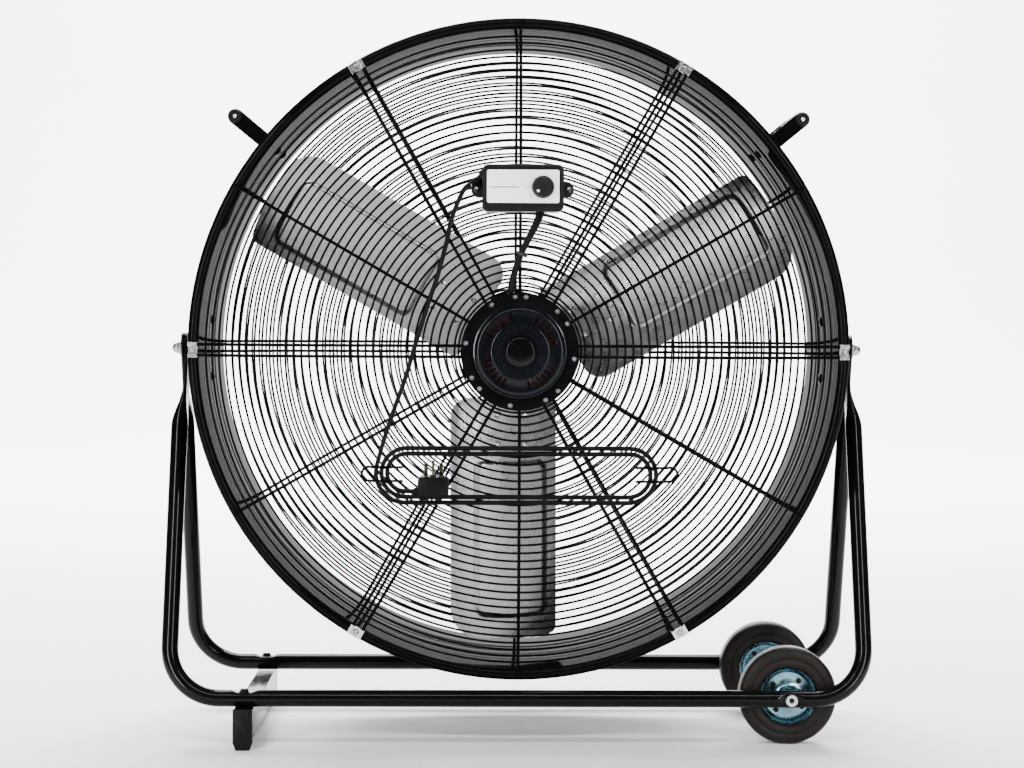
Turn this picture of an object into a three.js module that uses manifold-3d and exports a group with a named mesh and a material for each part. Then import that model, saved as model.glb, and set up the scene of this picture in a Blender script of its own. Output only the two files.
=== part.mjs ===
// A drum fan on a tilting stand: a steel drum with a wire guard at each end, a motor hung in the
// rear guard, three pressed aluminium blades, and two bent tube frames with wheels and a foot bar.
// Millimetres. +X is to the right as seen from the air inlet, +Y is the way the air blows, +Z is up.
import * as THREE from 'three';
import { mergeVertices } from 'three/addons/utils/BufferGeometryUtils.js';
import Module from 'manifold-3d';

const wasm = await Module();
wasm.setup();

// ---- clearances ---------------------------------------------------------------------------------
const SEAT_GAP = 0.3; // between two pieces that touch
const BORE_GAP = 0.45; // from a bolt to the wall of its hole
const RUN_GAP = 0.08; // from a turning shaft to its bearing

// ---- stand --------------------------------------------------------------------------------------
const STAND_CLEARANCE = 40.5; // outside of the tubes from the drum's rims
const TUBE_RADIUS = 12.7;
const BEND_RADIUS = 76;
const BASE_SPREAD = 310; // rear base tube to front base tube, centre to centre
const DRUM_OFF_FLOOR = 98.5; // lowest point of the drum over the floor
const STRAP_THICKNESS = 5.5; // tube end pressed flat
const STRAP_HALF_WIDTH = 18;
const STRAP_TOP = 24; // how far the strap runs past the pivot
const STRAP_LENGTH = 62; // how far it runs below the pivot
const STRAP_CLEARANCE = 17.5; // inner face of the inner strap from the drum's rims
const FLARE_LENGTH = 62; // from flat strap to round tube
const TUBE_SIDES = 10;
const FLARE_STEPS = 2;
const BEND_STEPS = 5;
const DENT_DEPTH = 3.5; // where a bolt head sits on a tube
const DENT_LENGTH = 22;

const FOOT_INSET = 112.8; // middle of the foot bar from the leg's
const FOOT_BAR_WIDTH = 29;
const FOOT_BAR_HEIGHT = 45;
const FOOT_BAR_WALL = 2;
const FOOT_BAR_LENGTH = 342;
const FOOT_CAP_THICKNESS = 9;
const FOOT_CHAMFER = [4.5, 11]; // sideways and up
const FOOT_SPIGOT = 15;
const FOOT_BOLT_RADIUS = 4;
const FOOT_BOLT_HEAD = [7.5, 4]; // radius and height

const WHEEL_INSET = 112.3; // wheel's axle from the leg's middle
const WHEEL_RADIUS = 73;
const TYRE_HALF_WIDTH = 18;
const RIM_RADIUS = 43;
const HUB_HALF_LENGTH = 20;
const HUB_RADIUS = 13;
const WHEEL_BEHIND_TUBE = 36; // wheel's middle from the base tube's
const WHEEL_SIDES = 20;
const AXLE_RADIUS = 6;
const AXLE_HEAD = [9, 6];
const AXLE_NUT_HEIGHT = 9;
const AXLE_SOCKET = [4, 3.5]; // hexagon radius and depth
const SLEEVE_RADIUS = 9.5;

// ---- tilt pivot ---------------------------------------------------------------------------------
const PIVOT_BOLT_RADIUS = 5;
const PIVOT_HEAD = [9, 6];
const NUT_FLANGE = [13, 1.5];
const DOME_NUT_RADIUS = 8.5;
const DOME_NUT_LENGTH = 14.9;
const BRACKET_PLATE = 3;
const BRACKET_HALF_WIDTH = 30; // along the drum's axis
const BRACKET_FOOT = [32, 62]; // where its foot starts and ends, up and down from the pivot
const BRACKET_TOP = 24; // half height of its outer face
const BRACKET_HOLLOW = [22, 29.4]; // half height of the hollow in it, behind its face and at the drum
const BRACKET_FOOT_DROP = 2.5; // how far its foot bends round the drum

// ---- drum and guards ----------------------------------------------------------------------------
const DRUM_RADIUS = 489.5; // over the rolled rims
const DRUM_DEPTH = 300;
const RIM_BEAD_RADIUS = 8.25;
const RIM_BEAD_CORNERS = [180, 135, 90, 45, 0, -55, -105]; // degrees round the bead
const DRUM_WALL = 1.5;
const DRUM_SIDES = 40;

const GUARD_WIRE = 4;
const SPOKE_WIRE = 5;
const SPOKE_PAIR_OFFSET = 8; // each wire of a pair from their middle line
const GUARD_INNER_RING = 79;
const GUARD_RING_INSET = 12; // outermost ring from the drum's inside
const REAR_GUARD_RINGS = 5; // evenly spaced along its profile
const FRONT_GUARD_RINGS = 4;
const GUARD_FLAT_RADIUS = 290; // the guard is flat inside this and domed outside it
const GUARD_DOME_RADIUS = 340;
const SPOKE_INSET = 3.5; // spokes' ends from the outside of the rim
const FINE_RING_RADIUS = 400; // rings wider than this have a corner between spokes too

const CLIP_PLATE = 2;
const CLIP_WIDTH = 22.5;
const CLIP_INSET = [0.5, 2]; // from the inside and from the outside of the rim
const CLIP_FOOT = 4.8; // half width of its middle, pressed down between the spokes
const CENTRE_PLATE_RADIUS = 92;
const CENTRE_PLATE_LIP = 6;

const HANDLE_ANGLE = THREE.MathUtils.degToRad(39.3);
const HANDLE_REACH = 62.5; // grip's axis from the rim
const HANDLE_STRAP = [11.5, 4]; // half width and thickness
const HANDLE_HALF_SPAN = 74; // over the legs, along the drum's axis
const GRIP_RADIUS = 12;
const GRIP_PIN_RADIUS = 4;
const GRIP_BUTTON = [11, 5];

// ---- motor --------------------------------------------------------------------------------------
const MOTOR_RADIUS = 66;
const MOTOR_WALL = 3;
const MOTOR_STANDS_OUT = 16.57; // its rear face from the guard's face
const MOTOR_LENGTH = 111;
const MOTOR_REAR_LENGTH = 57; // from its rear face to where its bells meet
const MOTOR_FLANGE = [82, 4];
const MOUNT_PLATE_RADIUS = 86;
const MOUNT_PLATE_THICKNESS = 2.7;
const MOTOR_SIDES = 20;
const VENT_GROUP_AT = 50; // middle of a vent group from the axis
const VENT_SLOT = [14, 3.2]; // length and width
const VENT_STEP = THREE.MathUtils.degToRad(9.3); // from one slot to the next
const VENT_TURN = THREE.MathUtils.degToRad(38.4); // middle of the first group
const VENTS_PER_GROUP = 6;
const BOSS_RADIUS = 41;
const BOSS_HEIGHT = 5;
const BEARING_RADIUS = 20;
const BEARING_WIDTH = 11;
const BEARING_CUP_WALL = 4;
const SHAFT_RADIUS = 8;
const SHAFT_SIDES = 24;
const CAP_RADIUS = 23;
const CAP_HEIGHT = 12;
const ROTOR_RADIUS = 40;
const STATOR_RADIUS = 62;
const WINDING_BORE = 41.5;
const WINDING_RADIUS = 58;
const STATOR_INSIDE = [26, 86]; // its ends from the motor's rear face
const END_TURN = 11; // how far the copper stands out of the stator

// ---- fan ----------------------------------------------------------------------------------------
const FAN_Y = -22; // middle of the blades, from the drum's middle
const BLADE_COUNT = 3;
const BLADE_FIRST_ANGLE = THREE.MathUtils.degToRad(30.3);
const BLADE_PITCH = 0.4; // how far the sheet leans back for each step across it
const BLADE_CAMBER = 7;
const BLADE_THICKNESS = 2;
const BLADE_ROOT = 78;
const BLADE_TIP_GAP = 26; // to the drum's inside
const BLADE_EDGES = [-60, 103]; // trailing and leading edge, across
const BLADE_CORNER = 38;
const PANEL_START = 173;
const PANEL_INSET = 33; // its outer end from the blade's tip
const PANEL_ACROSS = [-43, 62];
const PANEL_SLOPE = 6;
const PANEL_HEIGHT = 4;
const ARM_ACROSS = [-22, 44];
const ARM_END = 165;
const ARM_THICKNESS = 4;
const ARM_GAP = 1.3; // washer between an arm and its blade
const HUB_BOSS_RADIUS = 28;
const HUB_BOSS_HALF_LENGTH = 24;

// ---- control box --------------------------------------------------------------------------------
const BOX_CENTRE = [2.7, 234.2]; // across and up, from the drum's axis
const BOX_SIZE = [117, 67];
const BOX_DEPTH = 40;
const BOX_WALL = 3;
const BOX_CORNER = 9;
const EAR_REACH = 9.5;
const EAR_RADIUS = 13;
const EAR_THICKNESS = 4;
const LID_THICKNESS = 5;
const FACE_PLATE = [103, 47, 1.2];
const FACE_PLATE_OFFSET = 2; // up from the box's middle
const KNOB_CENTRE = [30.9, 235.3];
const KNOB_RADIUS = 16;
const KNOB_HEIGHT = 16;
const KNOB_STEM_RADIUS = 3;
const KNOB_SIDES = 16;
const POINTER_ANGLE = 221; // degrees from +X towards +Z
const POINTER_REACH = 9.5;
const POINTER_RISE = 0.5;
const SWITCH_SIZE = [34, 20, 34];
const CAPACITOR = [14, 46]; // radius and length
const CAPACITOR_X = -24;

// ---- cord and leads -----------------------------------------------------------------------------
const CORD_RADIUS = 3.5;
const CORD_SIDES = 8;
const CORD_STEPS = 24;
const CORD_EXIT_AT = [-54, 13.57, 252]; // thick end of the strain relief: across, out from the guard's face, up
const RELIEF_DROOP = THREE.MathUtils.degToRad(32);
const STRAIN_RELIEF = [6.5, 4.6, 21]; // thick end, thin end and length
const CORD_ROUTE = [ // across and up from the drum's axis, down the guard's face
  [-99.6, 191], [-106.1, 160.8], [-121.2, 104.1], [-131.8, 73.2], [-151.8, 8.6], [-167.2, -43], [-184, -90],
];
const HANK_CENTRES = [-164.5, 159]; // of its two round ends, across
const HANK_HEIGHT = -177.7;
const HANK_RADIUS = 44;
const HANK_PITCH = 8.2; // between one loop and the next
const HANK_START = 165; // degrees round its left end
const HANK_LAST = 270 + 2 * 360; // degrees, where it ends
const HANK_STEPS = 24; // in each loop
const HANK_SIDES = 6;
const HANK_LEAD_IN = 20;
const PLUG_X = [-146.4, -102.4];
const PLUG_DEPTH = 44;
const PLUG_HEIGHT = 28;
const PLUG_CHAMFER = 4;
const LINE_PINS = { spacing: 22, inside: 11, length: 18, size: [6, 4] };
const EARTH_PIN = { away: 22, length: 23, size: [4, 8] };
const HOOK_WIRE = 2;
const HOOK_ENDS = [[-170, -228.5], [169.7, 229.7]]; // free end and outer end of each, across
const HOOK_HALF_GAP = 10;
const HOOK_SIDES = 6;
const HOOK_BENDS = [7, 4, 1]; // where a leg leaves its top, nears the guard and lies on it, from the bend
const HOOK_CURL = [-60, -30, 0, 30, 60]; // degrees round the bend
const LEAD_RADIUS = 4.75;
const LEAD_TIE = { radius: 7, width: 5, at: 0.42 };
const LEAD_ROUTE = [ // across, out from the guard's face and up, from inside the box to beside the flange
  [30, 11.6, 207], [25, 10.6, 190], [0.8, 7.6, 141.2], [-9, 7.6, 112], [-12.6, 6.6, 98],
];
const LEAD_THROUGH = [-13.3, 87.4]; // where it passes through the guard
const LEAD_DIVE = [[2.6, 1], [-4.4, 0], [-10.4, -1]]; // out from the guard's face, and up from LEAD_THROUGH
const LEAD_ENTRY_DEPTH = 21.4; // where it enters the motor, behind the guard's face
const LEAD_STRAIGHT = 9; // its last stretch, straight to the motor's wall
const LEAD_STEPS = 16;
const LEAD_HOLE = [28.6, 11.3]; // in the box's underside: across, and out from the guard's face

// ---- worked out from the sizes above --------------------------------------------------------------
const AXLE_HEIGHT = WHEEL_RADIUS;
const STAND_WIDTH = 2 * (DRUM_RADIUS + STAND_CLEARANCE);
const PIVOT_HEIGHT = DRUM_RADIUS + DRUM_OFF_FLOOR;
const LEG_X = STAND_WIDTH / 2 - TUBE_RADIUS;
const FOOT_X = FOOT_INSET - LEG_X;
const WHEEL_X = LEG_X - WHEEL_INSET;
const LEG_RISE = PIVOT_HEIGHT - AXLE_HEIGHT;
const LEG_LEAN = Math.atan2(BASE_SPREAD / 2, LEG_RISE);
const LEG_LENGTH = Math.hypot(BASE_SPREAD / 2, LEG_RISE);
const STRAP_FACE_X = DRUM_RADIUS + STRAP_CLEARANCE;
const INNER_STRAP_X = STRAP_FACE_X + STRAP_THICKNESS / 2;
const OUTER_STRAP_X = INNER_STRAP_X + STRAP_THICKNESS + SEAT_GAP;
const STRAP_OUTSIDE_X = OUTER_STRAP_X + STRAP_THICKNESS / 2;
const BRACKET_FACE_X = STRAP_FACE_X - SEAT_GAP;
const TUBE_SEAT = TUBE_RADIUS - DENT_DEPTH; // a bolt head's seat from the tube's centre
const FOOT_BAR_TOP = AXLE_HEIGHT - TUBE_RADIUS - SEAT_GAP;
const TUBE_Y = BASE_SPREAD / 2;
const WHEEL_Y = TUBE_Y - WHEEL_BEHIND_TUBE;
const AXLE_SHOULDER = WHEEL_Y - HUB_HALF_LENGTH - 2; // the axle is thicker between the wheels
const AXLE_SEAT = TUBE_Y + TUBE_SEAT + SEAT_GAP;

const DRUM_INSIDE = DRUM_RADIUS - 2 * RIM_BEAD_RADIUS;
const DRUM_OUTSIDE = DRUM_INSIDE + DRUM_WALL;
const RIM_FACE = DRUM_DEPTH / 2;
const GUARD_OUTER_RING = DRUM_INSIDE - GUARD_RING_INSET;
const SPOKE_OUTER_END = DRUM_RADIUS - SPOKE_INSET;
const CLIP_REACH = [DRUM_INSIDE + CLIP_INSET[0], DRUM_RADIUS - CLIP_INSET[1]];
const HANDLE_GRIP_AT = DRUM_RADIUS + HANDLE_REACH;
const BLADE_TIP = DRUM_INSIDE - BLADE_TIP_GAP;
const BLADE_MIDDLE = (BLADE_EDGES[0] + BLADE_EDGES[1]) / 2;
const BLADE_HALF = (BLADE_EDGES[1] - BLADE_EDGES[0]) / 2;
const GUARD_EDGE_Y = RIM_FACE + SEAT_GAP + GUARD_WIRE / 2;
const GUARD_DOME_ANGLE = Math.asin((GUARD_OUTER_RING - GUARD_FLAT_RADIUS) / GUARD_DOME_RADIUS);
const GUARD_RISE = GUARD_DOME_RADIUS * (1 - Math.cos(GUARD_DOME_ANGLE));
const GUARD_FACE_Y = GUARD_EDGE_Y + GUARD_RISE + GUARD_WIRE / 2; // outer face of its flat part
const GUARD_BACK_Y = GUARD_FACE_Y - GUARD_WIRE;

const MOTOR_REAR_Y = -GUARD_FACE_Y - MOTOR_STANDS_OUT;
const MOTOR_SPLIT_Y = MOTOR_REAR_Y + MOTOR_REAR_LENGTH;
const MOTOR_FRONT_Y = MOTOR_REAR_Y + MOTOR_LENGTH;
const STATOR_Y = STATOR_INSIDE.map((inside) => MOTOR_REAR_Y + inside);
const REAR_BEARING_Y = MOTOR_REAR_Y - BOSS_HEIGHT + SEAT_GAP;
const FRONT_BEARING_Y = MOTOR_FRONT_Y - BEARING_WIDTH;

const BOX_BACK_Y = -GUARD_FACE_Y - SEAT_GAP;
const HANK_START_ANGLE = THREE.MathUtils.degToRad(HANK_START);
const BOX_FRONT_Y = BOX_BACK_Y - BOX_DEPTH;
const LID_FRONT_Y = BOX_FRONT_Y - SEAT_GAP - LID_THICKNESS;
const FACE_PLATE_Y = LID_FRONT_Y - SEAT_GAP - FACE_PLATE[2];
const KNOB_FRONT_Y = FACE_PLATE_Y - SEAT_GAP - KNOB_HEIGHT;
const CORD_Y = -GUARD_FACE_Y - SEAT_GAP - CORD_RADIUS;
const CORD_EXIT = onGuard(CORD_EXIT_AT);
const RELIEF_DIRECTION = new THREE.Vector3(-Math.cos(RELIEF_DROOP), 0, -Math.sin(RELIEF_DROOP));
const CORD_START = CORD_EXIT.clone().addScaledVector(RELIEF_DIRECTION, STRAIN_RELIEF[2] + SEAT_GAP);
const HANK_HEADING = new THREE.Vector3(-Math.sin(HANK_START_ANGLE), 0, Math.cos(HANK_START_ANGLE));
const HANK_BEGIN = hankPoint(HANK_START).addScaledVector(HANK_HEADING, -HANK_LEAD_IN);
const HANK_END = hankPoint(HANK_LAST - 0.01);
const PLUG_BOTTOM = HANK_END.z - CORD_RADIUS - 0.6;
const FRONT_REACH = GUARD_BACK_Y + CENTRE_PLATE_LIP;
const REAR_REACH = -KNOB_FRONT_Y + POINTER_RISE;
const ORIGIN_Y = (REAR_REACH - FRONT_REACH) / 2; // sets the origin under the middle of the whole

// A place on the way of the cord or the lead, given across, out from the guard's face and up.
function onGuard([across, out, up]) {
  return new THREE.Vector3(across, -GUARD_FACE_Y - out, up);
}

// The hank is a flat spiral of long loops with round ends; degrees run round its left end first.
function hankPoint(degrees) {
  const angle = THREE.MathUtils.degToRad(degrees);
  const radius = HANK_RADIUS - (HANK_PITCH * (degrees - HANK_START)) / 360;
  const onLeft = Math.cos(angle) < 0;
  const centre = HANK_CENTRES[onLeft ? 0 : 1];
  return new THREE.Vector3(centre + radius * Math.cos(angle), CORD_Y, HANK_HEIGHT + radius * Math.sin(angle));
}

// ---- materials ----------------------------------------------------------------------------------
function material(color, roughness, metalness) {
  return new THREE.MeshStandardMaterial({ color, roughness, metalness });
}
const GLOSS_BLACK = material(0x0b0b0c, 0.25, 0.4);
const WIRE_BLACK = material(0x121213, 0.35, 0.4);
const SATIN_BLACK = material(0x151517, 0.5, 0.2);
const MOTOR_BLACK = material(0x0f1013, 0.4, 0.3);
const ZINC = material(0xb9bec2, 0.35, 0.9);
const BLUE_ZINC = material(0x8fa6ad, 0.3, 0.9);
const BARE_STEEL = material(0x8d8f92, 0.4, 0.9);
const ALUMINIUM = material(0x9a9c9e, 0.3, 0.95);
const COPPER = material(0xb0512b, 0.4, 0.8);
const RUBBER = material(0x141414, 0.85, 0);
const CORD_BLACK = material(0x101011, 0.6, 0);
const SILVER_PLATE = material(0xdfe1e3, 0.35, 0.5);
const CAPACITOR_GREY = material(0xc8c8c4, 0.6, 0);
const TIE_GREY = material(0x8b8d8e, 0.6, 0);

// ---- making shapes --------------------------------------------------------------------------------
function volumeOf(geometry) {
  const at = geometry.attributes.position;
  const index = geometry.index ? geometry.index.array : [...Array(at.count).keys()];
  const [a, b, c] = [0, 1, 2].map(() => new THREE.Vector3());
  let sum = 0;
  for (let i = 0; i < index.length; i += 3) {
    a.fromBufferAttribute(at, index[i]);
    b.fromBufferAttribute(at, index[i + 1]);
    c.fromBufferAttribute(at, index[i + 2]);
    sum += a.dot(b.cross(c)) / 6;
  }
  return sum;
}

// The same shape with its faces pointing out.
function outward(geometry) {
  if (volumeOf(geometry) > 0) return geometry;
  const whole = geometry.index ? geometry.toNonIndexed() : geometry;
  const at = whole.attributes.position.array;
  for (let i = 0; i < at.length; i += 9) {
    for (let k = 0; k < 3; k++) [at[i + k], at[i + 3 + k]] = [at[i + 3 + k], at[i + k]];
  }
  return fromTriangles(at);
}

function fromTriangles(positions) {
  const geometry = new THREE.BufferGeometry();
  geometry.setAttribute('position', new THREE.Float32BufferAttribute(positions, 3));
  return geometry;
}

function toManifold(geometry) {
  const bare = outward(geometry).clone();
  bare.deleteAttribute('normal');
  bare.deleteAttribute('uv');
  const merged = mergeVertices(bare, 1e-4);
  const index = merged.index.array;
  const kept = [];
  for (let i = 0; i < index.length; i += 3) {
    const [a, b, c] = index.slice(i, i + 3);
    if (a !== b && b !== c && c !== a) kept.push(a, b, c);
  }
  const vertProperties = new Float32Array(merged.attributes.position.array);
  return new wasm.Manifold(new wasm.Mesh({ numProp: 3, vertProperties, triVerts: new Uint32Array(kept) }));
}

function fromManifold(manifold) {
  const { vertProperties, triVerts } = manifold.getMesh();
  const geometry = new THREE.BufferGeometry();
  geometry.setAttribute('position', new THREE.BufferAttribute(new Float32Array(vertProperties), 3));
  geometry.setIndex(new THREE.BufferAttribute(new Uint32Array(triVerts), 1));
  return geometry;
}

function cut(geometry, ...tools) {
  return fromManifold(tools.reduce((left, tool) => left.subtract(toManifold(tool)), toManifold(geometry)));
}

function join(geometry, ...others) {
  return fromManifold(others.reduce((sum, other) => sum.add(toManifold(other)), toManifold(geometry)));
}

// Turns a shape made along Y to run along another axis.
function along(axis, geometry) {
  if (axis === 'x') geometry.rotateZ(-Math.PI / 2);
  if (axis === 'z') geometry.rotateX(Math.PI / 2);
  return geometry;
}

function rod(axis, radius, start, end, at = [0, 0, 0], sides = 16) {
  const bar = new THREE.CylinderGeometry(radius, radius, end - start, sides);
  bar.translate(0, (start + end) / 2, 0);
  return along(axis, bar).translate(...at);
}

// Turns a profile of [radius, place along the axis] points, which ends on the axis or closes on itself.
function turned(axis, profile, sides) {
  const points = profile.map(([radius, place]) => new THREE.Vector2(radius, place));
  if (profile[0][0] > 0) points.push(points[0].clone());
  return along(axis, outward(new THREE.LatheGeometry(points, sides)));
}

function block(size, centre) {
  return new THREE.BoxGeometry(...size).translate(...centre);
}

// A flat outline in X and Z, thickened along Y from startY to endY.
function slab(shape, startY, endY, curveSegments = 2) {
  const depth = endY - startY;
  const plate = new THREE.ExtrudeGeometry(shape, { depth, bevelEnabled: false, curveSegments });
  return plate.rotateX(Math.PI / 2).translate(0, endY, 0);
}

function outline(points) {
  return new THREE.Shape(points.map(([x, z]) => new THREE.Vector2(x, z)));
}

function roundedRectangle(width, height, corner, centre = [0, 0]) {
  const [x, z] = [centre[0] - width / 2, centre[1] - height / 2];
  const shape = new THREE.Shape();
  shape.absarc(x + width - corner, z + corner, corner, -Math.PI / 2, 0);
  shape.absarc(x + width - corner, z + height - corner, corner, 0, Math.PI / 2);
  shape.absarc(x + corner, z + height - corner, corner, Math.PI / 2, Math.PI);
  shape.absarc(x + corner, z + corner, corner, Math.PI, 1.5 * Math.PI);
  return shape;
}

function circle(radius, sides) {
  const angles = Array.from({ length: sides }, (_, i) => (2 * Math.PI * i) / sides);
  return angles.map((angle) => new THREE.Vector2(radius * Math.cos(angle), radius * Math.sin(angle)));
}

function tube(curve, radius, sides, steps) {
  const section = new THREE.Shape(circle(radius, sides));
  return outward(new THREE.ExtrudeGeometry(section, { steps, bevelEnabled: false, extrudePath: curve }));
}

// Skins a row of rings of points, each with as many points as the next, and closes both ends.
function skin(rings) {
  const count = rings[0].length;
  const positions = rings.flat().flatMap((point) => point.toArray());
  const index = [];
  for (let i = 0; i + 1 < rings.length; i++) {
    for (let k = 0; k < count; k++) {
      const [a, b] = [i * count + k, i * count + ((k + 1) % count)];
      index.push(a, b, a + count, b, b + count, a + count);
    }
  }
  const last = (rings.length - 1) * count;
  for (let k = 1; k + 1 < count; k++) index.push(0, k + 1, k, last, last + k, last + k + 1);
  const geometry = new THREE.BufferGeometry();
  geometry.setAttribute('position', new THREE.Float32BufferAttribute(positions, 3));
  geometry.setIndex(index);
  return outward(geometry);
}

// A ring of points square to a path's direction, for a tube that is skinned by hand.
function sectionAt(point, direction, radius, sides, beside = new THREE.Vector3(0, 1, 0)) {
  const across = new THREE.Vector3().crossVectors(direction, beside).normalize();
  const over = new THREE.Vector3().crossVectors(across, direction).normalize();
  return circle(radius, sides).map((c) => point.clone().addScaledVector(over, c.x).addScaledVector(across, c.y));
}

// A tube through a row of points, bent halfway at each of them.
function wire(points, radius, sides) {
  const rings = points.map((point, i) => {
    const before = points[Math.max(i - 1, 0)];
    const after = points[Math.min(i + 1, points.length - 1)];
    return sectionAt(point, after.clone().sub(before).normalize(), radius, sides);
  });
  return skin(rings);
}

// The six faces of a cell whose corners are numbered across + 2 * outward + 4 * upward.
const CELL_FACES = {
  left: '0462',
  right: '1375',
  inner: '0154',
  outer: '6732',
  under: '0231',
  upper: '4576',
};

function cellFaces(corners, names) {
  return names.flatMap((name) => {
    const [a, b, c, d] = [...CELL_FACES[name]].map((i) => corners[i]);
    return [a, b, c, a, c, d].flatMap((corner) => corner.toArray());
  });
}

function smooth(share) {
  return share * share * (3 - 2 * share);
}

function piece(name, geometry, finish) {
  const mesh = new THREE.Mesh(geometry, finish);
  mesh.name = name;
  return mesh;
}

function group(...children) {
  return new THREE.Group().add(...children.flat(2));
}

function sides(make) {
  return [make('left', -1), make('right', 1)];
}

// ---- stand ----------------------------------------------------------------------------------------
function tubeRow(x, rise, changes = {}) {
  return { x, rise, turn: 0, flat: 0, width: 1, topDent: 0, sideDent: 0, ...changes };
}

// One section of a base frame: round, or pressed flat by the share `flat`, with dents for bolt heads.
// hand is -1 on the left leg and +1 elsewhere, side is -1 for the rear frame and +1 for the front one.
function tubeSection(row, hand, side) {
  const plane = new THREE.Vector3(0, side * Math.cos(LEG_LEAN), Math.sin(LEG_LEAN));
  const up = new THREE.Vector3(0, -side * Math.sin(LEG_LEAN), Math.cos(LEG_LEAN));
  const out = new THREE.Vector3(hand * Math.cos(row.turn), 0, 0).addScaledVector(up, -Math.sin(row.turn));
  const centre = new THREE.Vector3(hand * row.x, side * TUBE_Y, AXLE_HEIGHT).addScaledVector(up, row.rise);
  return circle(1, TUBE_SIDES).map(({ x: c, y: s }) => {
    const strapFace = Math.abs(c) < 0.1 ? 0 : (Math.sign(c) * STRAP_THICKNESS) / 2;
    const outside = THREE.MathUtils.lerp(TUBE_RADIUS * c, strapFace, row.flat);
    const across = THREE.MathUtils.lerp(TUBE_RADIUS, STRAP_HALF_WIDTH * row.width, row.flat) * s;
    const point = centre.clone().addScaledVector(out, outside).addScaledVector(plane, across);
    if (row.topDent > 0) point.z = Math.min(point.z, AXLE_HEIGHT + TUBE_RADIUS - row.topDent);
    if (row.sideDent > 0) point.y = side * Math.min(side * point.y, TUBE_Y + TUBE_RADIUS - row.sideDent);
    return point;
  });
}

// One leg from its strap's top, down the flare and round the bend to the base tube.
function legRows(strapX) {
  const strap = (rise, width) => tubeRow(strapX, rise, { flat: 1, width });
  const rows = [
    strap(LEG_LENGTH + STRAP_TOP, 0.45),
    strap(LEG_LENGTH + 0.75 * STRAP_TOP, 0.8),
    strap(LEG_LENGTH + 0.35 * STRAP_TOP, 1),
    strap(LEG_LENGTH - STRAP_LENGTH, 1),
  ];
  for (let i = 1; i <= FLARE_STEPS; i++) {
    const share = smooth(i / FLARE_STEPS);
    const x = THREE.MathUtils.lerp(strapX, LEG_X, share);
    const rise = LEG_LENGTH - STRAP_LENGTH - (i / FLARE_STEPS) * FLARE_LENGTH;
    rows.push(tubeRow(x, rise, { flat: 1 - share }));
  }
  for (let i = 0; i <= BEND_STEPS; i++) {
    const turn = (Math.PI / 2) * (i / BEND_STEPS);
    const x = LEG_X - BEND_RADIUS * (1 - Math.cos(turn));
    rows.push(tubeRow(x, BEND_RADIUS * (1 - Math.sin(turn)), { turn }));
  }
  return rows;
}

function dentRows(x, dent) {
  const level = { turn: Math.PI / 2 };
  const pressed = { ...level, [dent]: DENT_DEPTH };
  return [
    tubeRow(x - DENT_LENGTH, 0, level),
    tubeRow(x - DENT_LENGTH / 2, 0, pressed),
    tubeRow(x + DENT_LENGTH / 2, 0, pressed),
    tubeRow(x + DENT_LENGTH, 0, level),
  ];
}

function baseFrame(side, strapX) {
  const leftLeg = legRows(strapX).map((row) => tubeSection(row, -1, side));
  const rightLeg = legRows(strapX).map((row) => tubeSection(row, 1, side)).reverse();
  const bar = [...dentRows(FOOT_X, 'topDent'), ...dentRows(WHEEL_X, 'sideDent')];
  const frame = skin([...leftLeg, ...bar.map((row) => tubeSection(row, 1, side)), ...rightLeg]);
  const across = 2 * TUBE_RADIUS;
  return cut(
    frame,
    rod('x', PIVOT_BOLT_RADIUS + BORE_GAP, -STAND_WIDTH, STAND_WIDTH, [0, 0, PIVOT_HEIGHT]),
    rod('z', FOOT_BOLT_RADIUS + BORE_GAP, -across, across, [FOOT_X, side * TUBE_Y, AXLE_HEIGHT], 12),
    rod('y', AXLE_RADIUS + BORE_GAP, -across, across, [WHEEL_X, side * TUBE_Y, AXLE_HEIGHT], 12),
  );
}

// The foot bar's outline, or its cap's, which is narrower at the floor.
function footOutline(inset, bottom, chamfer) {
  const half = FOOT_BAR_WIDTH / 2 - inset;
  return outline([
    [-half + chamfer[0], bottom],
    [half - chamfer[0], bottom],
    [half, bottom + chamfer[1]],
    [half, FOOT_BAR_TOP - inset],
    [-half, FOOT_BAR_TOP - inset],
    [-half, bottom + chamfer[1]],
  ]);
}

function footBar() {
  const bottom = FOOT_BAR_TOP - FOOT_BAR_HEIGHT;
  const half = FOOT_BAR_LENGTH / 2;
  const shell = slab(footOutline(0, bottom, [2, 2]), -half, half);
  const hollow = slab(footOutline(FOOT_BAR_WALL, bottom + FOOT_BAR_WALL, [1, 1]), -half - 1, half + 1);
  const [under, over] = [FOOT_BAR_TOP - 2 * FOOT_BAR_WALL, FOOT_BAR_TOP + FOOT_BAR_WALL];
  const radius = FOOT_BOLT_RADIUS + BORE_GAP;
  const holes = [-1, 1].map((side) => rod('z', radius, under, over, [0, side * TUBE_Y, 0], 12));
  return cut(shell, hollow, ...holes).translate(FOOT_X, 0, 0);
}

function footCap(side) {
  const end = FOOT_BAR_LENGTH / 2 + SEAT_GAP;
  const plate = slab(footOutline(0, 0, FOOT_CHAMFER), end, end + FOOT_CAP_THICKNESS);
  const inset = FOOT_BAR_WALL + SEAT_GAP;
  const spigot = slab(footOutline(inset, FOOT_BAR_TOP - FOOT_BAR_HEIGHT + inset, [2, 2]), end - FOOT_SPIGOT, end + 1);
  const relief = block([FOOT_BAR_WIDTH, 2 * TUBE_RADIUS, 40], [0, TUBE_Y, FOOT_BAR_TOP - FOOT_BAR_WALL]);
  const cap = cut(join(plate, spigot), relief);
  if (side < 0) cap.rotateZ(Math.PI);
  return cap.translate(FOOT_X, 0, 0);
}

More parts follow.
